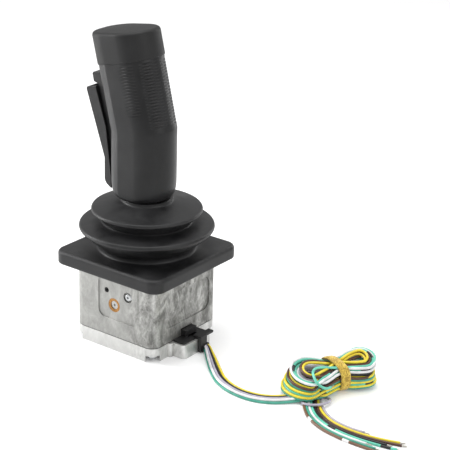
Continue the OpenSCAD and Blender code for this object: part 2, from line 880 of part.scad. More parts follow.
module grip_body() color(plastic_black) {
    difference() {
        union() {
            intersection() {
                translate([grip_x, 0, grip_z])
                    linear_extrude(bend_z - grip_z + 30)
                        grip_section();
                below_bend();
                // rounded lower end
                translate([grip_x - 1, 0, 0])
                    rotate_extrude($fn = 96)
                        polygon([[0, grip_z], [20.5, grip_z], [22.4, grip_z + 1.5],
                            [24, grip_z + 4], [25.5, grip_z + 8], [27.3, grip_z + 14],
                            [29.5, grip_z + 20], [45, grip_z + 26], [45, 260], [0, 260]]);
            }
            difference() {
                leaning()
                    translate([0, 0, -30])
                        linear_extrude(cap_s + 30)
                            grip_section();
                below_bend();
            }
            // core that carries the two parts across the bend
            leaning()
                translate([0, 0, -10])
                    cylinder(r = grip_half_w * 0.7, h = 20);
            // spigot that carries the cap
            leaning()
                translate([0, 0, cap_s - 1])
                    linear_extrude(8)
                        grip_section(3);
        }
        translate([0, 0, grip_z - 1])
            cylinder(r = shaft_r, h = shaft_top - grip_z + 1);
        // pocket behind the trigger's frame
        leaning()
            translate([-grip_front - 1, -4.5, plunger_s - 7.5])
                cube([13, 9, 15]);
        // screws of the frame
        leaning()
            for (s = [12.5, 31])
                x_rod(1.2, -grip_front - 1, -grip_front + 9, 0, s);
        x_rod(2, front_x - 1, 14, 0, bend_z - 20);
        leaning()
            for (i = [0:rib_count - 1])
                translate([0, 0, rib_s0 + i * rib_pitch])
                    linear_extrude(rib_pitch / 2)
                        rib_groove();
    }
}

// Slice of the cap's rounded top, parallel to its sloping top face
module cap_slice(inset, drop) {
    multmatrix([[1, 0, 0, 0], [0, 1, 0, 0], [-tan(cap_tilt), 0, 1, 0], [0, 0, 0, 1]])
        translate([0, 0, cap_s + cap_front_h - grip_front * tan(cap_tilt) - drop])
            linear_extrude(0.1)
                grip_section(inset - cap_lip, 48);
}

module grip_cap() color(plastic_black) {
    leaning()
        difference() {
            hull() {
                translate([0, 0, cap_s])
                    linear_extrude(0.1)
                        grip_section(-cap_lip, 40);
                cap_slice(0, cap_edge_r + 1);
                cap_slice(cap_edge_r * 0.13, cap_edge_r * 0.5 + 1);
                cap_slice(cap_edge_r * 0.5, cap_edge_r * 0.13 + 1);
                cap_slice(cap_edge_r, 0.9);
                cap_slice(grip_half_w * 0.5, 0.1);
            }
            translate([0, 0, cap_s - 1])
                linear_extrude(8.2)
                    grip_section(2.9);
            // prising notch at the lower edge
            translate([-grip_front + grip_front_r * 0.72, -grip_half_w - 1, cap_s - 1])
                cube([2.4, 5, 2]);
        }
}

// ---------------------------------------------------------------- trigger

// Height at which the grip's front changes from upright to leaning
front_bend_z = bend_z - grip_front * tan(lean / 2);
// X of the grip's leaning front at height z
function front_at(z) = front_x - (z - front_bend_z) * tan(lean);

frame_top_z = 208;
frame_proud = 6.7;

module trigger_frame() color(plastic_black) {
    difference() {
        xz_plate([[front_x, trigger_z - 4], [front_x - 2.6, trigger_z - 4],
            [front_x - 3.9, trigger_z - 2.6], [front_x - 3.9, trigger_z + 3],
            [front_x - 2.4, trigger_z + 5.5], [front_x - 2.4, trigger_z + 18],
            [front_x - 7.4, front_bend_z],
            [front_at(frame_top_z) - frame_proud, frame_top_z - 1.4],
            [front_at(frame_top_z) - frame_proud + 0.6, frame_top_z],
            [front_at(frame_top_z + 1.5), frame_top_z + 1.5],
            [front_x, front_bend_z]], -frame_half_w, frame_half_w);
        y_rod(trigger_pin_r, -frame_half_w - 1, frame_half_w + 1, trigger_x, trigger_z);
        // guide of the plunger
        leaning()
            x_rod(plunger_r + plunger_gap, -grip_front - 12, -grip_front + 1, 0, plunger_s);
        // frame screws, heads sunk
        leaning()
            for (s = [12.5, 31]) {
                x_rod(1.5, -grip_front - 9, -grip_front + 1, 0, s);
                x_rod(2.8, -grip_front - 12, -grip_front - 3.6, 0, s);
            }
    }
}

module frame_screws() color(steel) {
    leaning()
        for (s = [12.5, 31])
            translate([-grip_front - 3.6, 0, s])
                rotate([0, -90, 0])
                    pan_screw(2.5, 1.7, 1.15, 11, 0.9);
}

module trigger_pin() color(steel) {
    y_rod(trigger_pin_r, -frame_half_w, frame_half_w, trigger_x, trigger_z);
    for (m = [0, 1])
        mirror([0, m, 0])
            y_rod(trigger_pin_r - 0.04, frame_half_w - eps, frame_half_w + trigger_gap + 1.2,
                trigger_x, trigger_z);
}

module trigger_switch() color(plastic_black) {
    leaning()
        translate([-grip_front + 6.2, -3.9, plunger_s - 6.8])
            difference() {
                cube([5.6, 7.8, 13.6]);
                for (s = [2.6, 11])
                    translate([-1, 3.9, s])
                        rotate([0, 90, 0])
                            cylinder(r = 0.9, h = 8);
            }
}

// Plunger between the trigger and its spring
module trigger_plunger() color(plate_grey) {
    leaning()
        translate([-grip_front - 11.25, 0, plunger_s])
            rotate([0, 90, 0])
                rotate_extrude()
                    polygon([[0, 0], [1.1, 0.2], [1.9, 0.8], [plunger_r, 1.8],
                        [plunger_r, 10.5], [0, 10.5]]);
}

module trigger_spring() color(steel) {
    coils = 3;
    r = 1.7;
    leaning()
        translate([-grip_front - 0.8, 0, plunger_s])
            rotate([0, 90, 0])
                sweep([for (i = [0:coils * 12])
                    [r * cos(30 * i), r * sin(30 * i), 0.4 + 6.2 * i / (coils * 12)]], 0.3, 8);
}

module trigger_lever() color(plastic_black) {
    tip_x = front_x - 23.2;
    tip_z = 195;
    low_x = front_x - 7;
    difference() {
        xz_plate([[front_x - 0.5, trigger_z - 5.9], [front_x - 2.4, trigger_z - 4.8],
            [front_x - 4.9, trigger_z - 3.3], [low_x + 0.6, trigger_z - 1.2],
            [low_x, trigger_z + 1], [low_x, trigger_z + 18],
            [tip_x, tip_z - 0.8], [tip_x + 0.2, tip_z + 0.8], [tip_x + 1.3, tip_z + 1.6],
            [front_x - 14.1, tip_z + 3], [front_x - 5, trigger_z + 43],
            [front_x - 0.5, trigger_z + 3]], -cheek_out, cheek_out);
        // channel that takes the frame
        xz_plate([[low_x + trigger_face, trigger_z - 7],
            [low_x + trigger_face, trigger_z + 18.4],
            [tip_x + trigger_face - 0.5, tip_z + 1], [tip_x + trigger_face - 1.2, tip_z + 5],
            [front_x + 1, tip_z + 5], [front_x + 1, trigger_z - 7]],
            -frame_half_w - trigger_gap, frame_half_w + trigger_gap);
        y_rod(trigger_pin_r, -frame_half_w - trigger_gap - 1.4,
            frame_half_w + trigger_gap + 1.4, trigger_x, trigger_z);
    }
}

// ---------------------------------------------------------------- leads

lead_r = 3.6;
lead_sides = 8;
// Hank of coiled leads: place, direction and size
hank_pos = [163, 16, 0];
hank_turn = 58;
hank_z0 = 1.2;
hank_z1 = 24;
strap_w = 12;
strap_t = 1.1;
// Route from the strain relief along the floor to the hank
bundle_route = [[gland_x, 4, 3.8], [63, 2, 3.8], [72, -7, 3.8], [84, -18, 3.8],
    [97, -27, 3.8], [110, -31, 3.8], [124, -33, 3.8], [138, -31, 3.8], [148, -26, 3.8],
    [154, -19, 3.8]];
// Route from the hank to the bare ends
tails_route = [[163, -7, 3.8], [169, -14, 3.8], [184, -22, 3.8], [203, -29, 3.8],
    [225, -29, 3.8], [248, -25, 3.8]];

module hank_outline(extra = 0) {
    hull() {
        translate([-25, 1.5])
            circle(r = 15 + extra, $fn = 48);
        translate([32, 0])
            circle(r = 10 + extra, $fn = 48);
    }
}

module at_hank() {
    translate(hank_pos)
        rotate([0, 0, hank_turn])
            children();
}

module lead_bundle() color("gold")
    sweep(smooth(bundle_route, 3), lead_r, lead_sides);

module lead_hank() color("mediumaquamarine") {
    at_hank()
        translate([0, 0, hank_z0])
            linear_extrude(hank_z1 - hank_z0)
                hank_outline();
}

module lead_tails() color("gold")
    sweep(smooth(tails_route, 3), lead_r, lead_sides);

module lead_strap() color("khaki") {
    at_hank()
        difference() {
            intersection() {
                translate([0, 0, hank_z0 - strap_t])
                    linear_extrude(hank_z1 - hank_z0 + 2 * strap_t)
                        hank_outline(strap_t);
                translate([3, -40, -1])
                    cube([strap_w, 80, 40]);
            }
            translate([0, 0, hank_z0])
                linear_extrude(hank_z1 - hank_z0)
                    hank_outline();
        }
}

housing();
base_plate();
base_gasket();
base_screws();
pitch_bush_front();
pitch_bush_rear();
spring_anchor();
anchor_screw();
blanking_screw();
sensor_board();
hall_sensors();
board_screws();
board_header();
bay_cover();
cable_gland();
boot();
boot_retainer();
retainer_screws();
pitch_spring();
gimbal_ring();
pitch_pins();
roll_bushes();
spring_pegs();
roll_spring();
pivot_hub();
hub_peg();
roll_pin();
lever_shaft();
shaft_dowel();
magnet_holder();
magnet();
boot_collar();
grip_dowel();
grip_body();
grip_cap();
trigger_frame();
frame_screws();
trigger_pin();
trigger_switch();
trigger_plunger();
trigger_spring();
trigger_lever();
lead_bundle();
lead_hank();
lead_tails();
lead_strap();
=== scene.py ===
"""Dressed model of an industrial two-axis joystick with a deadman grip, a bellows boot and flying leads."""

import logging
import math
import random
from dataclasses import dataclass
from enum import Enum
from typing import Callable, Iterable, Sequence

import bmesh
import bpy
from mathutils import Matrix, Vector


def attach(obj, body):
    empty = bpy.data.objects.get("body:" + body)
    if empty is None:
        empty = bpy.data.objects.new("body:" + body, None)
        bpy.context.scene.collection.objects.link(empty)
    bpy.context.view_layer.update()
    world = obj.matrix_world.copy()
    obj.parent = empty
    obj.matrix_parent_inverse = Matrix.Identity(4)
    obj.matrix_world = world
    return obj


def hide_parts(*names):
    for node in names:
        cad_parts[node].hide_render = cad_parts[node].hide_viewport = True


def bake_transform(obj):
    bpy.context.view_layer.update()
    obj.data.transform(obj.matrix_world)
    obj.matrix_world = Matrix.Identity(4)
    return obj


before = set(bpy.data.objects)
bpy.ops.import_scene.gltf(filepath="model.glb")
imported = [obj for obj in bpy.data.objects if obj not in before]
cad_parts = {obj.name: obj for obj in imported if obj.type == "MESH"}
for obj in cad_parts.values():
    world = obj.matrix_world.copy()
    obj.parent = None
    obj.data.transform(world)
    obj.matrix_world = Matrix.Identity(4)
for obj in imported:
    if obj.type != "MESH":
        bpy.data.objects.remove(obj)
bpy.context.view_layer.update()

Point = tuple[float, float, float]
Place = tuple[float, float]
Piece = bpy.types.Object
Tree = bpy.types.NodeTree
Socket = bpy.types.NodeSocket

LOG = logging.getLogger("joystick")
# One millimetre in the frame's unit
MM = 0.001


# ------------------------------------------------------------------ helpers


def linear(code: str) -> tuple[float, float, float, float]:
    """Turns an sRGB colour into the linear one that shaders take.

    Args:
        code: six hex digits.

    Returns:
        Linear red, green and blue, and an alpha of 1.
    """
    parts = [int(code[i : i + 2], 16) / 255 for i in (0, 2, 4)]
    r, g, b = (c / 12.92 if c <= 0.04045 else ((c + 0.055) / 1.055) ** 2.4 for c in parts)
    return (r, g, b, 1.0)


def add_node(
    tree: Tree,
    kind: str,
    inputs: dict[int | str, object] | None = None,
    stops: Sequence[tuple[float, str]] = (),
    **settings: object,
) -> bpy.types.Node:
    """Adds one shader node with its settings, values and links.

    Args:
        tree: the node tree that it goes into.
        kind: Blender's name for the node, without the start that all of them share.
        inputs: for a socket's name or number, a value, or the socket or node to link from.
        stops: a colour ramp's places and hex colours, in order.
        settings: the node's own properties.

    Returns:
        The new node.
    """
    made = tree.nodes.new("ShaderNode" + kind)
    for name, value in settings.items():
        setattr(made, name, value)
    for name, value in (inputs or {}).items():
        if isinstance(value, bpy.types.Node):
            value = value.outputs[0]
        if isinstance(value, Socket):
            tree.links.new(value, made.inputs[name])
        else:
            made.inputs[name].default_value = value
    for number, (place, code) in enumerate(stops):
        line = made.color_ramp.elements
        stop = line[number] if number < len(line) else line.new(place)
        stop.position = place
        stop.color = linear(code)
    return made


def mesh_piece(name: str, points: Iterable[Sequence[float]], faces: Iterable[Sequence[int]]) -> Piece:
    """Makes an object from points in millimetres and faces.

    Args:
        name: the piece's name.
        points: its vertices, in millimetres.
        faces: its faces.

    Returns:
        The object, shaded smooth.
    """
    mesh = bpy.data.meshes.new(name)
    mesh.from_pydata([Vector(p) * MM for p in points], [], [list(f) for f in faces])
    shell = bmesh.new()
    shell.from_mesh(mesh)
    bmesh.ops.recalc_face_normals(shell, faces=shell.faces)
    shell.to_mesh(mesh)
    shell.free()
    mesh.polygons.foreach_set("use_smooth", [True] * len(mesh.polygons))
    piece = bpy.data.objects.new(name, mesh)
    bpy.context.scene.collection.objects.link(piece)
    return piece


def loft(
    name: str, loops: Sequence[Sequence[Sequence[float]]], closed: bool = False, caps: bool = False
) -> Piece:
    """Joins loops of equally many points into one surface.

    Args:
        name: the piece's name.
        loops: rings of points, in millimetres.
        closed: whether the last ring joins the first.
        caps: whether the first and last rings are filled.

    Returns:
        The object.
    """
    count = len(loops[0])
    faces = []
    for i in range(len(loops) - (0 if closed else 1)):
        a, b = i * count, (i + 1) % len(loops) * count
        faces += [(a + k, a + (k + 1) % count, b + (k + 1) % count, b + k) for k in range(count)]
    if caps:
        faces += [list(range(count)), [(len(loops) - 1) * count + k for k in range(count)]]
    return mesh_piece(name, [p for loop in loops for p in loop], faces)


def softened(points: Sequence[Sequence[float]], rounds: int = 2) -> list[Vector]:
    """Rounds the corners of an open outline by cutting them.

    Args:
        points: the outline's corners.
        rounds: how many times each corner is cut.

    Returns:
        The rounded outline, with the same ends.
    """
    line = [Vector(p) for p in points]
    for _ in range(rounds):
        cut = [line[0]]
        for a, b in zip(line, line[1:]):
            cut += [a.lerp(b, 0.25), a.lerp(b, 0.75)]
        line = cut + [line[-1]]
    return line


def smooth_route(points: Sequence[Vector], spacing: float) -> list[Vector]:
    """Draws one smooth curve through points, with even steps.

    Args:
        points: the route's points.
        spacing: the step along the curve.

    Returns:
        The curve's points.
    """
    ends = [points[0] * 2 - points[1], *points, points[-1] * 2 - points[-2]]
    fine = []
    for a, b, c, d in zip(ends, ends[1:], ends[2:], ends[3:]):
        t0, t1 = 0.0, (b - a).length ** 0.5
        t2 = t1 + (c - b).length ** 0.5
        t3 = t2 + (d - c).length ** 0.5
        for k in range(12):
            t = t1 + (t2 - t1) * k / 12
            a1 = a * ((t1 - t) / (t1 - t0)) + b * ((t - t0) / (t1 - t0))
            a2 = b * ((t2 - t) / (t2 - t1)) + c * ((t - t1) / (t2 - t1))
            a3 = c * ((t3 - t) / (t3 - t2)) + d * ((t - t2) / (t3 - t2))
            b1 = a1 * ((t2 - t) / (t2 - t0)) + a2 * ((t - t0) / (t2 - t0))
            b2 = a2 * ((t3 - t) / (t3 - t1)) + a3 * ((t - t1) / (t3 - t1))
            fine.append(b1 * ((t2 - t) / (t2 - t1)) + b2 * ((t - t1) / (t2 - t1)))
    fine.append(points[-1])
    even, left = [fine[0]], spacing
    for a, b in zip(fine, fine[1:]):
        step = (b - a).length
        while step > 0 and left <= step:
            a = a.lerp(b, left / step)
            even.append(a)
            step = (b - a).length
            left = spacing
        left -= step
    if (even[-1] - fine[-1]).length > spacing * 0.3:
        even.append(fine[-1])
    return even


def route_length(path: Sequence[Vector]) -> float:
    """Length of a route, in its own unit."""
    return sum((b - a).length for a, b in zip(path, path[1:]))


def circle(count: int) -> list[float]:
    """Angles that divide a whole turn evenly."""
    return [2 * math.pi * k / count for k in range(count)]


def tube(name: str, path: Sequence[Vector], radius: float, sides: int) -> Piece:
    """Sweeps a round section along a route, and keeps the distance along it.

    Args:
        name: the piece's name.
        path: the route, in millimetres.
        radius: the section's radius, in millimetres.
        sides: how many sides the section has.

    Returns:
        The tube, with a float attribute named along, in metres.
    """
    loops, along, run = [], [], 0.0
    heading = (path[1] - path[0]).normalized()
    side = heading.orthogonal().normalized()
    for i, point in enumerate(path):
        ahead = (path[min(i + 1, len(path) - 1)] - path[max(i - 1, 0)]).normalized()
        side = (side - ahead * side.dot(ahead)).normalized()
        lift = ahead.cross(side)
        loops.append([point + (side * math.cos(t) + lift * math.sin(t)) * radius for t in circle(sides)])
        run += (point - path[i - 1]).length if i else 0.0
        along += [run * MM] * sides
    piece = loft(name, loops, caps=True)
    mark = piece.data.attributes.new("along", "FLOAT", "POINT")
    mark.data.foreach_set("value", along)
    return piece


def soft_step(value: float, low: float, high: float) -> float:
    """Rises smoothly from 0 at low to 1 at high."""
    share = min(1.0, max(0.0, (value - low) / (high - low)))
    return share * share * (3 - 2 * share)


def dress(piece: Piece, finish: "Finish") -> None:
    """Gives a piece its finish.

    Args:
        piece: a new piece or a CAD node's object.
        finish: the finish.
    """
    if piece.material_slots:
        for place in piece.material_slots:
            place.material = finish.material()
    else:
        piece.data.materials.append(finish.material())


def place(piece: Piece, body: str, *nodes: str) -> None:
    """Makes a piece ride on a body in place of CAD nodes.

    Args:
        piece: the new piece.
        body: the body's name.
        nodes: the CAD nodes that it stands for.
    """
    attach(piece, body)
    if nodes:
        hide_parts(*nodes)
    LOG.info("%s rides on %s", piece.name, body)


# ----------------------------------------------------------------- finishes


@dataclass(frozen=True)
class Finish:
    """A real material with the way its surface was made."""

    name: str
    colour: str
    metallic: float = 0.0
    roughness: float = 0.5
    edge_mm: float = 0.0
    depth_mm: float = 0.05

    def material(self) -> bpy.types.Material:
        """The finish's material, made once."""
        return bpy.data.materials.get(self.name) or self.build()

    def build(self) -> bpy.types.Material:
        """Builds the shader from what the surface shows, its relief, and edges that a bevel rounds.

        Returns:
            The new material.
        """
        made = bpy.data.materials.new(self.name)
        made.use_nodes = True
        tree = made.node_tree
        tree.nodes.clear()
        looks = {"Base Color": linear(self.colour), "Metallic": self.metallic, "Roughness": self.roughness}
        looks |= self.surface(tree, add_node(tree, "TexCoord").outputs["Object"])
        relief = {"Height": looks.pop("Height"), "Distance": self.depth_mm * MM, "Strength": 1.0}
        if self.edge_mm:
            relief["Normal"] = add_node(tree, "Bevel", {"Radius": self.edge_mm * MM}, samples=4)
        looks["Normal"] = add_node(tree, "Bump", relief)
        shader = add_node(tree, "BsdfPrincipled", looks)
        add_node(tree, "OutputMaterial", {"Surface": shader})
        return made

    def surface(self, tree: Tree, place_of: Socket) -> dict[str, object]:
        """Adds what this surface shows.

        Args:
            tree: the material's nodes.
            place_of: the place on the piece, in metres.

        Returns:
            Values, nodes or sockets for the shader's inputs, and the relief as Height.
        """
        raise NotImplementedError


@dataclass(frozen=True)
class CastMetal(Finish):
    """Die-cast aluminium: cloudy flow marks, flattened towards -X and strongest towards +X, under fine
    scuffs.
    """

    dark: str = "7d7d7a"
    light: str = "d2d2cf"
    flow_mm: float = 13.0
    scuff_share: float = 1 / 4.5
    grain_mm: float = 0.8
    full_marks_x_mm: tuple[float, float] = (8.0, 32.0)
    depth_mm: float = 0.12

    def surface(self, tree: Tree, place_of: Socket) -> dict[str, object]:
        """Flow marks that run up the casting and flatten out towards -X, with a fine grain over them."""
        tall = add_node(tree, "Mapping", {"Vector": place_of, "Scale": (1.0, 1.0, 0.55)})
        flow_scale = 1 / (self.flow_mm * MM)
        scuff_scale = 1 / (self.flow_mm * self.scuff_share * MM)
        flow = {"Vector": tall, "Scale": flow_scale, "Detail": 5.0, "Distortion": 1.4, "Roughness": 0.62}
        flow = add_node(tree, "TexNoise", flow)
        scuff = {"Vector": tall, "Scale": scuff_scale, "Detail": 4.0, "Distortion": 0.8, "Roughness": 0.7}
        scuff = add_node(tree, "TexNoise", scuff)
        grain = add_node(tree, "TexNoise", {"Vector": place_of, "Scale": 1 / (self.grain_mm * MM)})
        marks = add_node(tree, "Math", {0: flow, 1: 0.62}, operation="MULTIPLY")
        marks = add_node(tree, "Math", {0: scuff, 1: 0.38, 2: marks}, operation="MULTIPLY_ADD")
        # The flow marks keep their full range towards +X and are flattened towards -X.
        across = add_node(tree, "SeparateXYZ", {0: place_of})
        near, far = (side * MM for side in self.full_marks_x_mm)
        toward_x = add_node(tree, "MapRange", {0: across, 1: near, 2: far}, interpolation_type="SMOOTHSTEP")
        share = add_node(tree, "Math", {0: toward_x, 1: 0.68, 2: 0.32}, operation="MULTIPLY_ADD")
        level = add_node(tree, "Math", {0: toward_x, 1: -0.38, 2: 0.34}, operation="MULTIPLY_ADD")
        marks = add_node(tree, "Math", {0: marks, 1: share, 2: level}, operation="MULTIPLY_ADD")
        stops = ((0.36, self.dark), (0.5, self.colour), (0.63, self.light))
        return {
            "Base Color": add_node(tree, "ValToRGB", {"Fac": marks}, stops),
            "Roughness": add_node(tree, "MapRange", {0: marks, 1: 0.35, 2: 0.65, 3: 0.62, 4: 0.36}),
            "Height": add_node(tree, "Math", {0: grain, 1: 0.35, 2: scuff}, operation="MULTIPLY_ADD"),
        }


@dataclass(frozen=True)
class TurnedMetal(Finish):
    """Turned or ground metal: fine rings and a slight cloud in its gloss."""

    ring_mm: float = 0.35
    cloud_mm: float = 4.0
    depth_mm: float = 0.02

    def surface(self, tree: Tree, place_of: Socket) -> dict[str, object]:
        """Tool rings that are drawn coarser than real ones, so that they show."""
        cloud = {"Vector": place_of, "Scale": 1 / (self.cloud_mm * MM), "Detail": 3.0}
        cloud = add_node(tree, "TexNoise", cloud)
        rings = {"Vector": place_of, "Scale": 1 / (self.ring_mm * MM), "Detail": 1.0}
        rings = add_node(tree, "TexNoise", rings)
        low, high = self.roughness * 0.75, self.roughness * 1.3
        gloss = add_node(tree, "MapRange", {0: cloud, 1: 0.35, 2: 0.65, 3: low, 4: high})
        return {"Roughness": gloss, "Height": rings}


@dataclass(frozen=True)
class SinteredBronze(Finish):
    """Pressed and sintered bronze: open pores with oil, and painted shade that darkens the hollows."""

    pore_mm: float = 0.5
    depth_mm: float = 0.04

    def surface(self, tree: Tree, place_of: Socket) -> dict[str, object]:
        """Pores as dark dots that catch no light."""
        pores = add_node(tree, "TexNoise", {"Vector": place_of, "Scale": 1 / (self.pore_mm * MM)})
        # The first, dark stop is painted shade in the pores.
        stops = ((0.34, "5e4226"), (0.48, self.colour), (0.7, "c79a62"))
        return {"Base Color": add_node(tree, "ValToRGB", {"Fac": pores}, stops), "Height": pores}


@dataclass(frozen=True)
class MouldedPlastic(Finish):
    """Injection-moulded plastic from a spark-eroded mould: an even fine grain, lighter where hands rub."""

    worn: str = "202021"
    sheen: float = 0.5
    grain_mm: float = 0.5
    cloud_mm: float = 22.0
    cloud_detail: float = 3.0
    cloud_twist: float = 0.0
    gloss: tuple[float, float] = (-0.05, 0.06)

    def surface(self, tree: Tree, place_of: Socket) -> dict[str, object]:
        """The mould's grain, a cloudy second shade and a slow change in gloss."""
        cloud = {"Vector": place_of, "Scale": 1 / (self.cloud_mm * MM), "Detail": self.cloud_detail}
        cloud = add_node(tree, "TexNoise", cloud | {"Distortion": self.cloud_twist})
        grain = add_node(tree, "TexNoise", {"Vector": place_of, "Scale": 1 / (self.grain_mm * MM)})
        low, high = (self.roughness + change for change in self.gloss)
        return {
            "Specular IOR Level": self.sheen,
            "Base Color": add_node(tree, "ValToRGB", {"Fac": cloud}, ((0.35, self.colour), (0.7, self.worn))),
            "Roughness": add_node(tree, "MapRange", {0: cloud, 1: 0.35, 2: 0.65, 3: low, 4: high}),
            "Height": grain,
        }


@dataclass(frozen=True)
class MouldedRubber(MouldedPlastic):
    """Compression-moulded nitrile rubber: matt, with a cloudy bloom over the mould's blasted grain."""

    worn: str = "232324"
    sheen: float = 0.4
    grain_mm: float = 0.45
    cloud_mm: float = 16.0
    cloud_detail: float = 4.0
    cloud_twist: float = 0.4
    gloss: tuple[float, float] = (-0.06, 0.08)


@dataclass(frozen=True)
class BoardLacquer(Finish):
    """Green solder lacquer over copper tracks: a gloss with raised lines under it."""

    track_mm: float = 2.5
    depth_mm: float = -0.05

    def surface(self, tree: Tree, place_of: Socket) -> dict[str, object]:
        """Tracks as cells' borders, a shade lighter and slightly raised."""
        cells = {"Vector": place_of, "Scale": 1 / (self.track_mm * MM)}
        cells = add_node(tree, "TexVoronoi", cells, feature="DISTANCE_TO_EDGE", distance="EUCLIDEAN")
        colour = add_node(tree, "ValToRGB", {"Fac": cells}, ((0.06, "2f8052"), (0.12, self.colour)))
        return {"Base Color": colour, "Height": cells}


@dataclass(frozen=True)
class LeadInsulation(Finish):
    """Extruded PVC insulation: a soft gloss, a faint dirtying, and printed colour rings on some leads."""

    ring_colour: str = ""
    ring_pitch_mm: float = 44.0
    ring_share: float = 0.17
    depth_mm: float = 0.02

    def surface(self, tree: Tree, place_of: Socket) -> dict[str, object]:
        """The second colour's rings from the distance along the lead, and dirt over both."""
        cloud = add_node(tree, "TexNoise", {"Vector": place_of, "Scale": 1 / (6.0 * MM), "Detail": 3.0})
        dirt = add_node(tree, "ValToRGB", {"Fac": cloud}, ((0.3, "e4e4e4"), (0.6, "ffffff")))
        colour = linear(self.colour)
        if self.ring_colour:
            along = add_node(tree, "Attribute", attribute_name="along").outputs["Fac"]
            turn = add_node(tree, "Math", {0: along, 1: 1 / (self.ring_pitch_mm * MM)}, operation="MULTIPLY")
            part = add_node(tree, "Math", {0: turn}, operation="FRACT")
            inside = add_node(tree, "Math", {0: part, 1: self.ring_share}, operation="LESS_THAN")
            rings = {"Factor": inside, "A": colour, "B": linear(self.ring_colour)}
            colour = add_node(tree, "Mix", rings, data_type="RGBA").outputs["Result"]
        both = {"Factor": 1.0, "A": colour, "B": dirt}
        both = add_node(tree, "Mix", both, data_type="RGBA", blend_type="MULTIPLY").outputs["Result"]
        drawn = add_node(tree, "TexNoise", {"Vector": place_of, "Scale": 1 / (0.7 * MM), "Detail": 1.0})
        return {"Base Color": both, "Height": drawn}


@dataclass(frozen=True)
class HookLoopCloth(Finish):
    """Woven hook-and-loop tape: a ribbed ground under a fuzz of small loops."""

    loop_mm: float = 0.9
    depth_mm: float = 0.25

    def surface(self, tree: Tree, place_of: Socket) -> dict[str, object]:
        """Loops as bright dots over a darker ground, drawn twice their real size so that they show."""
        loops = {"Vector": place_of, "Scale": 1 / (self.loop_mm * MM), "Randomness": 0.85}
        loops = add_node(tree, "TexVoronoi", loops)
        cloud = add_node(tree, "TexNoise", {"Vector": place_of, "Scale": 1 / (5.0 * MM), "Detail": 4.0})
        shade = add_node(tree, "Math", {0: loops, 1: 0.6, 2: cloud}, operation="MULTIPLY_ADD")
        stops = ((0.5, "f0d868"), (0.75, self.colour), (1.1 / 1.2, "a98a34"))
        return {
            "Base Color": add_node(tree, "ValToRGB", {"Fac": shade}, stops),
            "Sheen Weight": 0.3,
            "Height": add_node(tree, "Math", {0: 1.0, 1: loops}, operation="SUBTRACT"),
        }


# Die-cast aluminium, tumbled: cloudy grey with bright scuffs
HOUSING_CAST = CastMetal("die_cast_aluminium_tumbled", "a9a9a6", 1.0, 0.5, 0.5)
# Die-cast aluminium, blasted: paler and more even
BASE_CAST = CastMetal(
    "die_cast_aluminium_blasted", "dcdcda", 1.0, 0.55, 0.5, dark="c6c6c4", light="efefed", flow_mm=18.0
)
# Die-cast aluminium, machined: brighter, with a sharper gloss
HUB_CAST = CastMetal("die_cast_aluminium_machined", "bcbcba", 1.0, 0.4, 0.3)
# Steel, turned and ground: tight bright highlights
TURNED_STEEL = TurnedMetal("turned_steel_ground", "b4b4b2", 1.0, 0.28, 0.15)
# Steel, zinc plated: a bluish white gloss
PLATED_STEEL = TurnedMetal("zinc_plated_steel", "c6c8c9", 1.0, 0.3, 0.15)
# Steel, drawn: darker, with a soft line of light along the wire
SPRING_STEEL = TurnedMetal("drawn_spring_steel", "8e8f90", 1.0, 0.35)
# Bronze, pressed and sintered: warm and half matt, with dark pores
BRONZE = SinteredBronze("sintered_bronze_pressed", "a97a48", 1.0, 0.42, 0.15)
# Nitrile rubber, moulded: deep black with soft broad highlights on its folds
RUBBER = MouldedRubber("nitrile_rubber_moulded", "151516", 0.0, 0.45)
# Nitrile rubber, cut from sheet: dull dark grey
GASKET_RUBBER = MouldedRubber("nitrile_rubber_cut_sheet", "1c1c1c", 0.0, 0.7)
# Glass-filled nylon, moulded: satin black that draws a line of light along an edge
GRIP_PLASTIC = MouldedPlastic("glass_filled_nylon_moulded", "121213", 0.0, 0.38, sheen=0.34)
# Glass-filled nylon, moulded in a coarser mould: a flatter black
CAP_PLASTIC = MouldedPlastic("glass_filled_nylon_moulded_cap", "131313", 0.0, 0.56, sheen=0.36)
# Acetal, moulded: slightly waxy black
TRIGGER_PLASTIC = MouldedPlastic("acetal_moulded", "131314", 0.0, 0.4, 0.7, worn="1c1c1d", sheen=0.4)
# Nylon, moulded: plain satin black
BLACK_PLASTIC = MouldedPlastic("nylon_moulded_black", "161616", 0.0, 0.45, 0.3)
# Acetal, moulded in its own colour: warm white
WHITE_PLASTIC = MouldedPlastic("acetal_moulded_natural", "d8d6cf", 0.0, 0.4, 0.2, worn="e4e2dc")
# Glass epoxy board, lacquered: green gloss over raised tracks
BOARD = BoardLacquer("epoxy_glass_board_lacquered", "14603a", 0.0, 0.3)
# Copper strands, tinned: small silvery glints
TINNED = TurnedMetal("tinned_copper_strands", "c9c5bc", 1.0, 0.3)
# Hook-and-loop tape, woven: matt yellow with a fuzzy surface
STRAP_CLOTH = HookLoopCloth("hook_and_loop_tape_woven", "d9b84a", 0.0, 0.85)


# -------------------------------------------------------------- stage


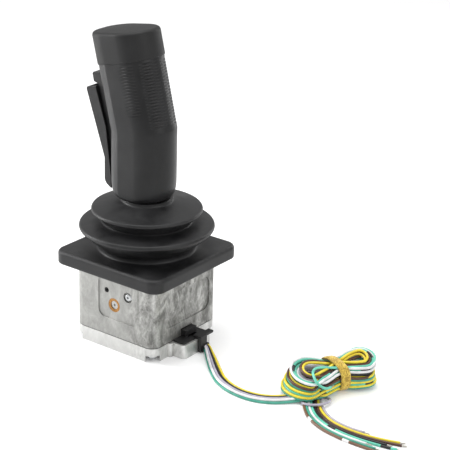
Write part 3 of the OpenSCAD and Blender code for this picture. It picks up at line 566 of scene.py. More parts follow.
@dataclass
class Stage:
    """Pale floor, soft light and the camera."""

    eye: tuple[float, float, float] = (0.6925, -0.84315, 0.5326)
    turn: float = 36.22
    tilt: float = 21.91
    roll: float = 1.58
    lens: float = 121.1
    floor_half: float = 3.0

    def build(self) -> None:
        """Builds the camera, the floor, the world and the lamps."""
        self.camera()
        self.floor()
        self.world()
        self.lamps()
        bpy.context.scene.view_settings.view_transform = "Standard"

    def camera(self) -> None:
        """A long lens that looks down on the object's cable corner."""
        turn, tilt, roll = (math.radians(a) for a in (self.turn, self.tilt, self.roll))
        back = Vector((math.sin(turn) * math.cos(tilt), -math.cos(turn) * math.cos(tilt), math.sin(tilt)))
        right = Vector((math.cos(turn), math.sin(turn), 0))
        up = back.cross(right)
        across = right * math.cos(roll) + up * math.sin(roll)
        upright = -right * math.sin(roll) + up * math.cos(roll)
        lens = bpy.data.cameras.new("camera")
        lens.lens, lens.sensor_width, lens.clip_start, lens.clip_end = self.lens, 36.0, 0.05, 20.0
        seat = bpy.data.objects.new("camera", lens)
        bpy.context.scene.collection.objects.link(seat)
        spin = Matrix((across, upright, back)).transposed().to_4x4()
        seat.matrix_world = Matrix.Translation(Vector(self.eye)) @ spin
        bpy.context.scene.camera = seat

    def floor(self) -> None:
        """A white floor that keeps shadows and is white where the camera sees it lit."""
        half = self.floor_half / MM
        corners = [(-half, -half, 0), (half, -half, 0), (half, half, 0), (-half, half, 0)]
        made = mesh_piece("floor", corners, [(0, 1, 2, 3)])
        paper = bpy.data.materials.new("white_paper_sweep")
        paper.use_nodes = True
        tree = paper.node_tree
        tree.nodes.clear()
        matt = add_node(tree, "BsdfDiffuse", {"Color": linear("f4f4f4")})
        glow = add_node(tree, "Emission", {"Color": (1, 1, 1, 1), "Strength": 0.14})
        path = add_node(tree, "LightPath")
        seen = add_node(tree, "MixShader", {0: path.outputs["Is Camera Ray"], 2: glow})
        add_node(tree, "OutputMaterial", {"Surface": add_node(tree, "AddShader", {0: matt, 1: seen})})
        made.data.materials.append(paper)

    def world(self) -> None:
        """A soft pale surround, plain white where the camera or glass sees it."""
        world = bpy.data.worlds.new("surround")
        world.use_nodes = True
        tree = world.node_tree
        tree.nodes.clear()
        path = add_node(tree, "LightPath")
        rays = {0: path.outputs["Is Camera Ray"], 1: path.outputs["Is Transmission Ray"]}
        seen = add_node(tree, "Math", rays, operation="MAXIMUM")
        soft = add_node(tree, "Background", {"Color": (1, 1, 1, 1), "Strength": 0.62})
        white = add_node(tree, "Background", {"Color": (1, 1, 1, 1), "Strength": 1.0})
        add_node(tree, "OutputWorld", {"Surface": add_node(tree, "MixShader", {0: seen, 1: soft, 2: white})})
        bpy.context.scene.world = world

    def lamps(self) -> None:
        """A large lamp overhead, two at the sides, and tall strips that draw the grip's edges."""
        for name, at, aim, wide, tall, power in (
            ("lamp_over", (-0.15, 0.1, 1.5), (0.05, 0.0, 0.05), 1.1, 1.1, 13.0),
            ("lamp_left", (-1.3, -0.9, 0.9), (0.0, 0.0, 0.1), 0.9, 0.9, 9.0),
            ("lamp_right", (1.5, -0.2, 0.8), (0.0, 0.0, 0.1), 0.9, 0.9, 6.0),
            ("strip_left", (-0.53, -0.24, 0.3), (0.0, 0.0, 0.2), 0.03, 0.6, 2.2),
            ("strip_back", (0.1, 0.62, 0.32), (0.0, 0.0, 0.2), 0.12, 0.56, 0.7),
        ):
            light = bpy.data.lights.new(name, "AREA")
            light.shape, light.size, light.size_y, light.energy = "RECTANGLE", wide, tall, power
            seat = bpy.data.objects.new(name, light)
            seat.visible_camera = False
            bpy.context.scene.collection.objects.link(seat)
            seat.location = at
            seat.rotation_euler = (Vector(aim) - Vector(at)).to_track_quat("-Z", "Y").to_euler()


# -------------------------------------------------------------- leads


class LeadColour(Enum):
    """The leads' insulation."""

    YELLOW = LeadInsulation("lead_pvc_yellow", "f2dc3c", 0.0, 0.34)
    GREY = LeadInsulation("lead_pvc_grey", "b9b4c4", 0.0, 0.34)
    BROWN = LeadInsulation("lead_pvc_brown", "5a3a2e", 0.0, 0.34)
    BLACK = LeadInsulation("lead_pvc_black", "1d1d1f", 0.0, 0.34)
    WHITE = LeadInsulation("lead_pvc_white", "f0eff0", 0.0, 0.34)
    TEAL_RINGED = LeadInsulation("lead_pvc_green_black_rings", "66cdb2", 0.0, 0.34, ring_colour="1c1f1f")
    TEAL = LeadInsulation("lead_pvc_green", "48a48e", 0.0, 0.34)
    BROWN_RINGED = LeadInsulation(
        "lead_pvc_brown_white_rings",
        "7a5a45",
        0.0,
        0.34,
        ring_colour="efeeee",
        ring_pitch_mm=38.0,
        ring_share=0.14,
    )
    TEAL_SPARE = LeadInsulation("lead_pvc_green_pale", "74d6bc", 0.0, 0.34)


@dataclass(frozen=True)
class LeadPlan:
    """One lead: its place in the bundle, how far aside its tail lies and how much of it is cut, its turns."""

    colour: LeadColour
    bundle: Place
    aside: float
    end_cut: float = 0.0
    turns: int = 5
    loops_back: bool = False


@dataclass(frozen=True)
class HankEnd:
    """A lead's oval at one place of the hank: centre, half width, height and tip of its far side."""

    along: float
    centre: float
    half: float
    height: float
    tip: float

    def around(self, angle: float, jog: float) -> Point:
        """A point of the round end, 90 degrees being the near side."""
        across = self.half * math.sin(angle)
        along = self.along + self.half * math.cos(angle)
        return (along, self.centre + across, self.height - self.tip * across + jog)

    def between(self, waist: "HankEnd", share: float, side: int, jog: float) -> Place:
        """Place across and height on a straight run, part of the way from this end to the waist."""
        half = self.half + (waist.half - self.half) * share
        centre = self.centre + (waist.centre - self.centre) * share
        height = self.height + (waist.height - self.height) * share
        tip = self.tip + (waist.tip - self.tip) * share
        return (centre + side * half, height - side * tip * half + jog)


@dataclass
class Leads:
    """Nine flying leads: along the floor, wound into a hank, and out to bare ends."""

    radius: float = 1.0
    step: float = 2.2
    hank_at: Place = (163.0, 16.0)
    hank_turn: float = 58.0
    columns: int = 5
    rows: int = 8
    strap_w: float = 8.2
    strap_thick: float = 1.1
    plans: tuple[LeadPlan, ...] = (
        LeadPlan(LeadColour.YELLOW, (3.8, 1.7), 4.6, 3.0, turns=6),
        LeadPlan(LeadColour.GREY, (-0.2, 1.75), 7.0, 30.0, loops_back=True),
        LeadPlan(LeadColour.BROWN, (2.8, 0.0), 2.4, turns=6),
        LeadPlan(LeadColour.BLACK, (1.8, 1.75), 0.2, 10.0),
        LeadPlan(LeadColour.WHITE, (-2.2, 1.7), -4.0, 24.0, turns=6),
        LeadPlan(LeadColour.TEAL_RINGED, (-1.2, 0.0), -1.9, 2.0, turns=6),
        LeadPlan(LeadColour.TEAL, (-3.2, 0.0), -6.2, 16.0),
        LeadPlan(LeadColour.BROWN_RINGED, (4.8, 0.0), -8.3, 12.0),
        LeadPlan(LeadColour.TEAL_SPARE, (0.8, 0.0), 0.0, turns=2),
    )
    # The bundle's middle line, from the gland over the floor to the hank
    bundle: tuple[Point, ...] = (
        (55.6, 4.4, 3.2), (58.6, 2.9, 3.0), (64, -1.6, 2.2), (72, -9, 1.4), (84, -20, 1.05),
        (96, -29.4, 1.05), (108, -34.8, 1.05), (121, -37, 1.05), (133, -35.6, 1.05), (143, -31, 1.1),
        (150.5, -24.8, 1.3),
    )
    # How close the leads lie at the bundle's first points, where the gland holds them
    tight: tuple[float, ...] = (0.42, 0.5, 0.72, 0.9)
    # The tails' middle line over the floor, and how far they fan out along it
    tails: tuple[Point, ...] = (
        (163, -5, 1.1), (171, -16, 1.1), (182, -26.5, 1.05), (195, -33, 1.05), (210, -35.5, 1.05),
        (226, -35, 1.05), (241, -32.5, 1.05), (253, -29.5, 1.05),
    )
    fan: tuple[float, ...] = (0.72, 0.85, 0.95, 1.0, 1.08, 1.2, 1.4, 1.6)
    # The grey lead's loop over the floor, along and across the hank
    back_loop: tuple[Point, ...] = (
        (-13, 12, 1.1), (-9.5, 19, 1.6), (-9.5, 24, 3.0), (-14, 28, 3.3), (-21, 29, 3.3), (-27.5, 26, 3.0),
        (-30, 20, 1.6), (-27, 13.5, 1.1), (-20, 10.5, 1.1), (-13, 13.0, 1.1),
    )
    # The spare's end along and across the hank: up the far side, over the top and curled down the near side
    spare_end: tuple[Point, ...] = (
        (11, -10, 15), (18, -8.5, 21.5), (26, -6.5, 25.0), (32.5, -1.5, 24.6), (34.5, 4.5, 23.0),
        (31, 10.5, 20.6), (22, 12.2, 19.4), (12, 10.6, 19.4), (4, 9.6, 20.0), (-3, 10.0, 21.2),
        (-9.5, 10.2, 22.6), (-15.8, 10.2, 23.0), (-19.7, 13.4, 22.3), (-21.0, 17.3, 21.2),
        (-21.1, 21.0, 19.5), (-19.9, 23.3, 17.3), (-17.5, 23.8, 15.0), (-14.6, 23.9, 13.2),
        (-11.6, 23.1, 12.2), (-8.1, 21.0, 11.6),
    )
    # Order of the leads for each turn: the hank is filled row by row, from the inner to the outer place
    orders: tuple[tuple[int, ...], ...] = (
        (1, 7, 2, 5, 6, 3, 0, 8, 4),
        (0, 1, 3, 6, 7, 5, 8, 2, 4),
        (5, 0, 1, 7, 3, 2, 6, 4),
        (7, 3, 0, 2, 1, 4, 5, 6),
        (3, 7, 1, 6, 5, 4, 0, 2),
        (2, 5, 4, 0),
    )

    def build(self) -> None:
        """Builds each lead, its bare end and the strap."""
        pieces = []
        for index, plan in enumerate(self.plans):
            route = self.route(index, plan)
            name = plan.colour.value.name
            lead = tube(name, route, self.radius, 10)
            dress(lead, plan.colour.value)
            place(lead, "base", "lead_bundle", "lead_hank", "lead_tails")
            pieces.append((lead, route, self.bare_end(name + "_end", route)))
        strap = self.strap()
        for index, (lead, route, end) in enumerate(pieces):
            LOG.info("%s is %.3f m long", lead.name, route_length(route) * MM)

    def at_hank(self, along: float, across: float, height: float) -> Vector:
        """A point given along, across and above the hank.

        Args:
            along: distance along the hank's axis.
            across: distance to its near side.
            height: height over the floor.

        Returns:
            The point in the object's frame.
        """
        turn = math.radians(self.hank_turn)
        return Vector(
            (
                self.hank_at[0] + along * math.cos(turn) + across * math.sin(turn),
                self.hank_at[1] + along * math.sin(turn) - across * math.cos(turn),
                height,
            )
        )

    def offset_route(self, line: Sequence[Vector], places: Sequence[tuple[float, float]]) -> list[Vector]:
        """Moves a route's points aside and up.

        Args:
            line: the bundle's middle line along the floor.
            places: for each point, how far left and how far up.

        Returns:
            The lead's own points.
        """
        moved = []
        for i, point in enumerate(line):
            ahead = line[min(i + 1, len(line) - 1)] - line[max(i - 1, 0)]
            left = Vector((-ahead.y, ahead.x, 0)).normalized()
            moved.append(point + left * places[i][0] + Vector((0, 0, places[i][1])))
        return moved

    def route(self, index: int, plan: LeadPlan) -> list[Vector]:
        """A lead's whole route, from the gland to its end.

        Args:
            index: the lead's number, which seeds its small unevenness.
            plan: its places.

        Returns:
            Points about 2.2 mm apart, in millimetres.
        """
        rnd = random.Random(40 + index)
        side, up = plan.bundle
        places = []
        for i in range(len(self.bundle)):
            tight = self.tight[i] if i < len(self.tight) else 1.0
            places.append((side * tight + rnd.uniform(-0.1, 0.1), up * (1.25 if i < 2 else 1.0)))
        points = self.offset_route([Vector(p) for p in self.bundle], places)
        for turn in range(plan.turns):
            slot = turn * 8 + min(turn, 2) + self.orders[turn].index(index)
            points += self.one_turn(slot, turn == plan.turns - 1, rnd)
        if plan.turns > 2:
            points += self.tail_points(plan)
        else:
            points += [self.at_hank(*p) for p in self.spare_end]
        return smooth_route(points, self.step)

    def one_turn(self, slot: int, last: bool, rnd: random.Random) -> list[Vector]:
        """One turn of a lead round the hank: near run, right bend, far run, left bend.

        Args:
            slot: the lead's place in the stack, from the floor up and from the inside out.
            last: whether the lead leaves the hank on this turn's far run.
            rnd: the lead's own random numbers.

        Returns:
            The turn's points.
        """
        row = slot // self.columns
        out = slot % self.columns + (0.5 if row % 2 else 0.0)
        high = row / self.rows
        squeeze = 1 - 0.2 * abs(2 * min(high, 1.0) - 1) ** 3
        right_z = 3.4 + 1.9 * row + 4.0 * min(1.0, max(0.0, (high - 0.6) / 0.4))
        left_half = 6.6 + 1.75 * out + 4.0 * max(0.0, 1 - high)
        left = HankEnd(-20.5 + 3.0 * high, 4.0 + 2.5 * high, left_half, 4.6 + 2.05 * row, 0.03 + 0.25 * high)
        waist = HankEnd(5.0, 2.0, (1.2 + 2.1 * out) * squeeze, 2.6 + 2.05 * row, 0.05)
        right_end = 24.4 - high + rnd.uniform(-2.4, 1.4)
        right_half = 4.8 + 1.2 * out + rnd.uniform(-0.3, 0.5)
        right = HankEnd(right_end, 5.0, right_half, right_z, 0.04 + 0.3 * high)

        def run(along: float, side: int) -> Vector:
            if along < 5:
                end, share = left, (along - left.along) / (2.5 - left.along)
            else:
                end, share = right, (right.along - along) / (right.along - 8)
            share = min(1.0, max(0.0, share))
            return self.at_hank(along, *end.between(waist, share**1.5, side, rnd.uniform(-0.12, 0.12)))

        def bend(end: HankEnd, angles: Sequence[float]) -> list[Vector]:
            lift = rnd.uniform(-0.35, 0.35)
            return [self.at_hank(*end.around(math.radians(a), lift + rnd.uniform(-0.1, 0.1))) for a in angles]

        points = [run(a, 1) for a in (-13, -7, -1, 4, 9, 17)] + bend(right, (72, 28, -18, -64))
        if last:
            return points + [run(a, -1) for a in (17, 12, 8)]
        points += [run(a, -1) for a in (17, 9, 4, -1, -7, -14)]
        return points + bend(left, (262, 228, 195, 162, 130, 100))

    def tail_points(self, plan: LeadPlan) -> list[Vector]:
        """The way out: down the far side, under the hank and over the floor to the bare end.

        Args:
            plan: the lead's places.

        Returns:
            The points.
        """
        side = plan.aside
        out = [
            self.at_hank(0.0, -11.4 - 0.1 * side, 11.0 + 0.4 * side),
            self.at_hank(-7, -12.6, 5.0 + 0.3 * side),
            self.at_hank(-14 + 0.4 * side, -9.0, 2.0),
            self.at_hank(-17 + 0.8 * side, 0.0, 1.1),
        ]
        line = [Vector(p) for p in self.tails]
        if plan.loops_back:
            out += [self.at_hank(*p) for p in self.back_loop]
            line = line[1:]
        tail = self.offset_route(line, [(side * f, 0.0) for f in self.fan[-len(line) :]])
        cut = plan.end_cut
        while len(tail) > 2 and (tail[-1] - tail[-2]).length < cut:
            cut -= (tail[-1] - tail[-2]).length
            tail.pop()
        if cut:
            tail[-1] = tail[-1] + (tail[-2] - tail[-1]).normalized() * cut
        return out + tail

    def bare_end(self, name: str, route: Sequence[Vector]) -> Piece:
        """Stripped and tinned strands, twisted, at a lead's end.

        Args:
            name: the piece's name.
            route: the lead's route.

        Returns:
            The piece.
        """
        ahead = (route[-1] - route[-2]).normalized()
        side = ahead.orthogonal().normalized()
        lift = ahead.cross(side)
        points, faces = [], []
        # Seven strands of nine six-sided rings, six of them twisted round the last
        for strand in range(7):
            off = 0.0 if strand == 6 else 0.36
            for ring in range(9):
                t = strand * math.pi / 3 + ring * 0.35
                centre = route[-1] + ahead * (ring * 0.55 - 0.4)
                centre += (side * math.cos(t) + lift * math.sin(t)) * off
                start = len(points)
                points += [centre + (side * math.cos(u) + lift * math.sin(u)) * 0.19 for u in circle(6)]
                if ring:
                    last = start - 6
                    sides = [(k, (k + 1) % 6) for k in range(6)]
                    faces += [(last + a, last + b, start + b, start + a) for a, b in sides]
            faces += [[len(points) - 6 + k for k in range(6)], [len(points) - 54 + k for k in range(6)]]
        piece = mesh_piece(name, points, faces)
        dress(piece, TINNED)
        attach(piece, "base")
        return piece

    def strap(self) -> Piece:
        """A band of hook-and-loop tape drawn round the hank, its end lapped over."""
        # The tape's section: share of its width, and of its thickness
        section = (
            (0, 0), (0.08, 0.7), (0.2, 1), (0.5, 1.08), (0.8, 1), (0.92, 0.7), (1, 0), (0.75, -0.02),
            (0.25, -0.02),
        )
        loops = []
        for i, turn in enumerate(circle(96)):
            t = turn - math.pi / 2
            c, s = math.cos(t), math.sin(t)
            grow = 0.5 if i < 20 else 0.0
            half_w = 12.1 + 0.2 * math.sin(3 * t)
            across = 2.0 + math.copysign(abs(c) ** 0.74, c) * (half_w + grow)
            high = 12.0 + math.copysign(abs(s) ** 0.76, s) * (10.8 + grow)
            lean = 3.2 * c - 1.0 * s
            normal = Vector((0, c, s)).normalized()
            ring = []
            for u, v in section:
                out = normal * self.strap_thick * v
                ring.append(self.at_hank(lean + self.strap_w * u, across + out.y, max(0.12, high + out.z)))
            loops.append(ring)
        piece = loft("lead_strap_cloth", loops, closed=True)
        dress(piece, STRAP_CLOTH)
        place(piece, "base", "lead_strap")
        return piece


# -------------------------------------------------------------- boot


@dataclass
class Boot:
    """Rubber boot: a square skirt over the flange, and two bellows folds up to the neck."""

    skirt_w: float = 103.4
    corner_r: float = 10.0
    edge_r: float = 3.0
    low_z: float = 64.4
    top_z: float = 74.9
    wall: float = 2.4
    around: int = 128
    foot_z: float = 77.9
    middle_z: float = 98.6
    neck_z: float = 114.6
    # Outer and inner outlines of the two folds: radius and height, each on from where the other ends
    lower_out: tuple[Place, ...] = (
        (38.2, 77.9), (38.3, 79.2), (40.4, 81.6), (46.4, 86.4), (51.6, 91.4), (52.6, 92.6), (52.8, 94.0),
        (52.0, 95.4), (50.0, 95.9), (40.0, 97.2), (36.3, 97.7), (35.2, 98.6),
    )
    lower_in: tuple[Place, ...] = (
        (33.2, 98.6), (34.4, 96.8), (47.4, 93.8), (40.0, 84.2), (36.2, 79.4), (36.2, 77.9)
    )
    upper_out: tuple[Place, ...] = (
        (35.2, 98.6), (35.6, 99.6), (41.6, 105.4), (43.1, 106.4), (43.3, 107.6), (42.5, 108.9), (40.6, 109.4),
        (30.0, 112.0), (21.6, 113.9), (20.1, 114.8), (20.0, 116.7),
    )
    upper_in: tuple[Place, ...] = ((14.3, 116.7), (14.3, 112.9), (38.6, 107.0), (33.2, 99.8), (33.2, 98.6))

    def build(self) -> None:
        """Builds the skirt and the two folds."""
        self.skirt()
        lower = softened(self.lower_out) + softened(self.lower_in, 1)
        self.fold("boot_fold_lower", lower)
        upper = softened(self.upper_out) + softened(self.upper_in, 1)
        self.fold("boot_fold_upper", upper)

    def fold(
        self, name: str, outline: Sequence[Vector]
    ) -> None:
        """One bellows fold, revolved from its section.

        Args:
            name: the piece's name.
            outline: the fold's closed section, radius and height.
        """
        loops = [[(p.x * math.cos(t), p.x * math.sin(t), p.y) for t in circle(self.around)] for p in outline]
        piece = loft(name, loops, closed=True)
        dress(piece, RUBBER)
        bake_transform(piece)
        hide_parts("boot")

    def square_loop(self, inset: float, z: float) -> list[Point]:
        """A rounded square's ring of points at one height.

        Args:
            inset: how far it lies inside the skirt's outer face.
            z: its height.

        Returns:
            The ring.
        """
        r = max(self.corner_r - inset, 1.0)
        reach = self.skirt_w / 2 - inset - r
        per = self.around // 8
        ring = []
        for corner in range(4):
            base = math.pi / 2 * corner
            centre = [(reach if k in (0, 3) else -reach, reach if k in (0, 1) else -reach) for k in range(4)]
            (cx, cy), (nx, ny) = centre[corner], centre[(corner + 1) % 4]
            for k in range(per):
                t = base + (math.pi / 2) * k / (per - 1)
                ring.append((cx + r * math.cos(t), cy + r * math.sin(t), z))
            x0, y0, _ = ring[-1]
            t = math.pi / 2 * ((corner + 1) % 4)
            x1, y1 = nx + r * math.cos(t), ny + r * math.sin(t)
            for k in range(1, per + 1):
                s = k / (per + 1)
                ring.append((x0 + (x1 - x0) * s, y0 + (y1 - y0) * s, z))
        return ring

    def round_loop(self, radius: float, z: float) -> list[Point]:
        """A circle's ring whose points lie at the square ring's angles."""
        angles = [math.atan2(y, x) for x, y, _ in self.square_loop(0, 0)]
        return [(radius * math.cos(t), radius * math.sin(t), z) for t in angles]

    def skirt(self) -> None:
        """The skirt: outer wall, rounded edge, top, and the lip that is clamped on the flange."""
        loops = [self.square_loop(self.wall, self.low_z), self.square_loop(self.wall * 0.5, self.low_z)]
        loops += [self.square_loop(0.4, self.low_z), self.square_loop(0.05, self.low_z + 0.5)]
        loops += [self.square_loop(0, self.low_z + 2), self.square_loop(0, self.top_z - self.edge_r - 1)]
        for k in range(7):
            t = math.pi / 2 * k / 6
            inset, drop = self.edge_r * (1 - math.cos(t)), self.edge_r * (1 - math.sin(t))
            loops.append(self.square_loop(inset, self.top_z - drop))
        loops.append(self.square_loop(self.edge_r + 1.2, self.top_z + 0.02))
        rise = [(46.0, self.top_z), (42.4, self.top_z), (39.0, 75.4), (38.2, 76.6), (38.2, self.foot_z)]
        for r, z in softened(rise):
            loops.append(self.round_loop(r, z))
        for r, z in ((36.2, 77.9), (36.2, 70.6), (32.0, 70.4), (32.0, 68.5), (40.0, 68.5), (40.0, 72.4)):
            loops.append(self.round_loop(r, z))
        loops.append(self.square_loop(self.wall + 1, 72.4))
        loops.append(self.square_loop(self.wall, 72.0))
        piece = loft("boot_skirt", loops, closed=True)
        dress(piece, RUBBER)
        place(piece, "base", "boot")


# -------------------------------------------------------------- grip


@dataclass
class Grip:
    """The handle: ribbed body, cap, and the deadman trigger with its frame."""

    grip_x: float = -2.5
    bend_z: float = 171.0
    lean: float = 13.9
    half_w: float = 20.75
    back: float = 25.5
    front: float = 25.5
    front_r: float = 17.5
    cap_s: float = 53.5
    cap_lip: float = 0.7
    cap_edge: float = 3.0
    cap_front_h: float = 26.5
    cap_tilt: float = 5.1
    low_z: float = 117.0
    rib_pitch: float = 2.3
    rib_count: int = 22
    rib_depth: float = 0.75
    # The share of a rib's pitch at which its groove starts, is deepest, and ends again
    groove: tuple[float, float, float] = (0.3, 0.72, 0.85)
    # The lower end's outline: height over its foot, and radius
    foot: tuple[Place, ...] = (
        (0.0, 20.3), (1.5, 22.4), (4.0, 24.0), (8.0, 25.5), (14.0, 27.3), (20.0, 29.5), (27.0, 45.0)
    )
    # Heights over the foot at which the lower end has a ring
    foot_rings: tuple[float, ...] = (
        0.0, 0.3, 0.8, 1.4, 2.1, 3.0, 4.0, 5.2, 6.6, 8.2, 10.0, 12.0, 14.0, 16.5, 19.0, 22.0, 26.0
    )
    ledge: Place = (199.6, 200.8)
    ledge_proud: float = 4.4
    lever_proud: float = 1.6

    def build(self) -> None:
        """Builds the body, the cap, the frame and the trigger."""
        self.body()
        self.cap()
        self.reshaped("trigger_frame", "lever", self.frame_proud, self.ledge)
        self.reshaped("trigger_lever", "trigger", self.lever_reach)

    def section(self, inset: float, edge: float = 0.0) -> list[Place]:
        """The grip's outline: round at the back, flatter at the front.

        Args:
            inset: how far inside the outline it lies.
            edge: the radius of the soft edge along each front corner, or 0 for a plain corner.

        Returns:
            Points of the outline, even in angle on its arcs.
        """
        r_back, r_front = self.half_w - inset, self.front_r - inset
        cx = self.back - self.half_w
        fx, fy = self.front_r - self.front, self.half_w - self.front_r
        turns = [math.radians(-90 + 2.5 * k) for k in range(73)]
        line = [(cx + r_back * math.cos(t), r_back * math.sin(t)) for t in turns]
        flat = [(line[-1][0] + (fx - line[-1][0]) * k / 7, self.half_w - inset) for k in range(1, 7)]
        corner = [self.corner_point(r_front, edge, math.radians(3.75 * k)) for k in range(25)]
        line += flat
        line += [(fx - y, fy + x) for x, y in corner]
        line += [(-self.front + inset, fy * (1 - 2 * k / 6)) for k in range(1, 6)]
        line += [(fx - y, -fy - x) for x, y in reversed(corner)]
        line += [(x, -y) for x, y in reversed(flat)]
        return line

    def corner_point(self, radius: float, edge: float, turn: float) -> Place:
        """A point of a quarter circle whose first third is drawn out to a soft edge.

        Args:
            radius: the quarter circle's radius.
            edge: the soft edge's radius, or 0 for none.
            turn: the angle from the side face.

        Returns:
            The point from the corner's centre: along the side's normal, and towards the front.
        """
        low, high = 0.0, math.radians(12)
        if not edge or not low <= turn <= high:
            return (radius * math.cos(turn), radius * math.sin(turn))
        middle, half = (low + high) / 2, (high - low) / 2
        share = math.sin((turn - middle) / half * math.pi / 2)
        reach = (radius - edge) / math.cos(half)
        swing = middle + half * share
        side = reach * math.cos(middle) + edge * math.cos(swing)
        return (side, reach * math.sin(middle) + edge * math.sin(swing))

    def body(self) -> None:
        """The handle's body: rounded lower end, upright part, bend, and the leaning part with its ribs."""
        outline = self.section(0.0, 3.0)
        tilt = math.tan(math.radians(self.lean) / 2)
        loops = []
        for up in self.foot_rings:
            loops.append([(*self.low_end(x, y, up), self.low_z + up) for x, y in outline])
        start = self.low_z + self.foot_rings[-1]
        for k in range(1, 9):
            rise = [(self.grip_x + x, y, (self.bend_z + x * tilt - start) * k / 9) for x, y in outline]
            loops.append([(x, y, start + up) for x, y, up in rise])
        step = self.rib_pitch / 8
        for k in range(int((self.cap_s + 3) / step)):
            level = k * step
            ring = []
            for i, (x, y) in enumerate(outline):
                s = level - x * tilt * max(0.0, 1 - level / 6)
                depth = self.rib_relief(x, y, s)
                (ax, ay), (bx, by) = outline[i - 1], outline[(i + 1) % len(outline)]
                nx, ny = by - ay, ax - bx
                long = math.hypot(nx, ny)
                ring.append(self.lean_point(x - depth * nx / long, y - depth * ny / long, s))
            loops.append(ring)
        piece = loft("grip_body_moulded", loops, caps=True)
        dress(piece, GRIP_PLASTIC)
        place(piece, "lever", "grip_body")

    def low_end(self, x: float, y: float, up: float) -> Place:
        """Draws a point in to the rounded lower end.

        Args:
            x: the outline's point.
            y: its other part.
            up: its height over the grip's lower end.

        Returns:
            The point in the object's frame.
        """
        for (z0, r0), (z1, r1) in zip(self.foot, self.foot[1:]):
            if z0 <= up <= z1:
                limit = r0 + (r1 - r0) * (up - z0) / (z1 - z0)
        reach = math.hypot(x + 1, y)
        soft = 0.7
        near = -soft * math.log(math.exp(-reach / soft) + math.exp(-limit / soft))
        return (self.grip_x - 1 + (x + 1) * near / reach, y * near / reach)

    def rib_relief(self, x: float, y: float, s: float) -> float:
        """How far the surface lies below the outline: grooves between ribs, in four bands.

        Args:
            x: the outline's point.
            y: its other part.
            s: the place along the leaning axis.

        Returns:
            The depth.
        """
        turns = (s - self.cap_s + 2.2) / self.rib_pitch + self.rib_count
        if not 0 < turns < self.rib_count:
            return 0.0
        angle = math.degrees(math.atan2(abs(y), x - self.back + self.half_w))
        palm = soft_step(angle, 4, 7) * soft_step(-angle, -50, -38) * (0.4 + 0.6 * soft_step(angle, 12, 24))
        side = soft_step(angle, 58, 68) * soft_step(-angle, -94, -84) * soft_step(turns, 4, 8)
        place_in = turns % 1
        start, deepest, end = self.groove
        if place_in < start:
            groove = 0.0
        elif place_in < end:
            groove = min(1.0, (place_in - start) / (deepest - start))
        else:
            groove = (1 - place_in) / (1 - end)
        return self.rib_depth * groove * max(palm, side * 0.7)

    def reshaped(
        self, node: str, body: str, shift: Callable[[Vector], float], cuts: Sequence[float] = ()
    ) -> None:
        """A copy of a CAD node's shape with its front drawn further out.

        Args:
            node: the node's name.
            body: the body that it rides on.
            shift: how far a point, in millimetres, moves to the front.
            cuts: heights at which the faces are divided first.
        """
        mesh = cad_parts[node].data.copy()
        mesh.name = node + "_moulded"
        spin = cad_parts[node].matrix_world
        form = bmesh.new()
        form.from_mesh(mesh)
        for level in cuts:
            whole = form.verts[:] + form.edges[:] + form.faces[:]
            bmesh.ops.bisect_plane(form, geom=whole, plane_co=(0, 0, level * MM), plane_no=(0, 0, 1))
        form.to_mesh(mesh)
        form.free()
        for corner in mesh.vertices:
            at = spin @ corner.co
            at.x -= shift(at / MM) * MM
            corner.co = at
        mesh.materials.clear()
        piece = bpy.data.objects.new(node + "_moulded", mesh)
        bpy.context.scene.collection.objects.link(piece)
        dress(piece, TRIGGER_PLASTIC)
        place(piece, body, node)

    def frame_proud(self, at: Vector) -> float:
        """How far the frame's front edge stands further out, above the trigger's tip."""
        grip_front = self.grip_x - self.front - (at.z - self.bend_z) * math.tan(math.radians(self.lean))
        return self.ledge_proud * soft_step(at.z, *self.ledge) * soft_step(grip_front - at.x, 2.0, 5.0)

    def lever_reach(self, at: Vector) -> float:
        """How far the lever's upper end stands further out."""
        return self.lever_proud * max(0.0, (at.z - 143.0) / 52.0)

    def lean_point(self, x: float, y: float, s: float) -> Point:
        """A point of the leaning part's frame in the object's frame."""
        a = math.radians(self.lean)
        across = self.grip_x + x * math.cos(a) - s * math.sin(a)
        return (across, y, self.bend_z + x * math.sin(a) + s * math.cos(a))

    def cap(self) -> None:
        """The cap: a lip at its lower edge, straight sides and a rounded, sloping top."""
        slope = math.tan(math.radians(self.cap_tilt))
        top = self.cap_s + self.cap_front_h - self.front * slope

        def level(inset: float, s: float) -> list[Point]:
            return [self.lean_point(x, y, s) for x, y in self.section(inset - self.cap_lip)]

        def sloped(inset: float, drop: float) -> list[Point]:
            outline = self.section(inset - self.cap_lip)
            return [self.lean_point(x, y, top - drop - x * slope) for x, y in outline]

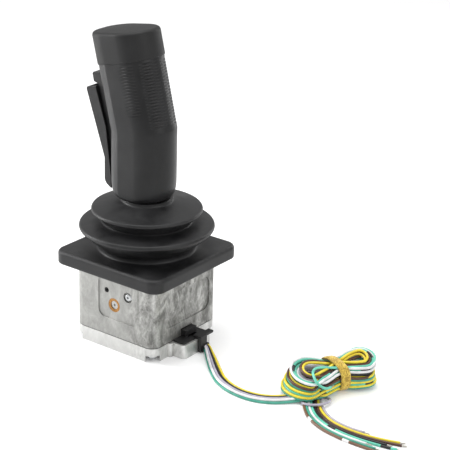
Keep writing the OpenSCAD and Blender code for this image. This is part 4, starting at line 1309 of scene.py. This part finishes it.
        lip = ((3.6, 0.3), (1.0, 0.0), (0.35, 0.0), (0.05, 0.35), (0.0, 1.0), (0.0, 12.0))
        loops = [level(inset, self.cap_s + up) for inset, up in lip]
        for k in range(8):
            t = math.pi / 2 * k / 7
            loops.append(sloped(self.cap_edge * (1 - math.cos(t)), 0.9 + self.cap_edge * (1 - math.sin(t))))
        for inset, drop in ((7.0, 0.75), (10.0, 0.5), (14.0, 0.3), (17.5, 0.2)):
            loops.append(self.crown(inset, drop, top, slope))
        piece = loft("grip_cap_moulded", loops, caps=True)
        dress(piece, CAP_PLASTIC)
        place(piece, "lever", "grip_cap")

    def crown(self, inset: float, drop: float, top: float, slope: float) -> list[Point]:
        """A ring of the cap's top, shrunk towards its middle.

        Args:
            inset: how far in the ring lies at the sides.
            drop: how far under the highest point.
            top: the top's height at the axis.
            slope: its fall towards the back.

        Returns:
            The ring.
        """
        share = 1 - (inset - self.cap_edge) / (self.half_w - self.cap_edge + 1)
        ring = self.section(self.cap_edge - self.cap_lip)
        return [self.lean_point(x * share, y * share, top - drop - x * share * slope) for x, y in ring]


# -------------------------------------------------------------- metal and board parts


@dataclass
class Works:
    """The rigid parts that keep their CAD shape: housing, gimbal, lever and board."""

    finishes: tuple[tuple[Finish, str], ...] = (
        (HOUSING_CAST, "housing"),
        (BASE_CAST, "base_plate"),
        (HUB_CAST, "pivot_hub"),
        (GASKET_RUBBER, "base_gasket"),
        (BRONZE, "pitch_bush_front pitch_bush_rear roll_bushes"),
        (PLATED_STEEL, "base_screws anchor_screw board_screws boot_retainer retainer_screws frame_screws"),
        (TURNED_STEEL, "spring_anchor gimbal_ring pitch_pins spring_pegs hub_peg roll_pin lever_shaft"),
        (TURNED_STEEL, "shaft_dowel magnet grip_dowel trigger_pin"),
        (SPRING_STEEL, "pitch_spring roll_spring trigger_spring"),
        (BLACK_PLASTIC, "blanking_screw hall_sensors bay_cover cable_gland"),
        (BLACK_PLASTIC, "magnet_holder boot_collar trigger_switch"),
        (WHITE_PLASTIC, "board_header trigger_plunger"),
        (BOARD, "sensor_board"),
    )

    def build(self) -> None:
        """Gives each part its finish."""
        for finish, nodes in self.finishes:
            for node in nodes.split():
                dress(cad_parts[node], finish)
                LOG.info("%s gets %s", node, finish.name)


def main() -> None:
    """Builds the stage, the leads and each sub-assembly, in order."""
    logging.basicConfig(level=logging.INFO, format="%(name)s: %(message)s")
    for part in (Stage(), Leads(), Works(), Boot(), Grip()):
        part.build()
        LOG.info("%s built", type(part).__name__)


if __name__ == "__main__":
    main()
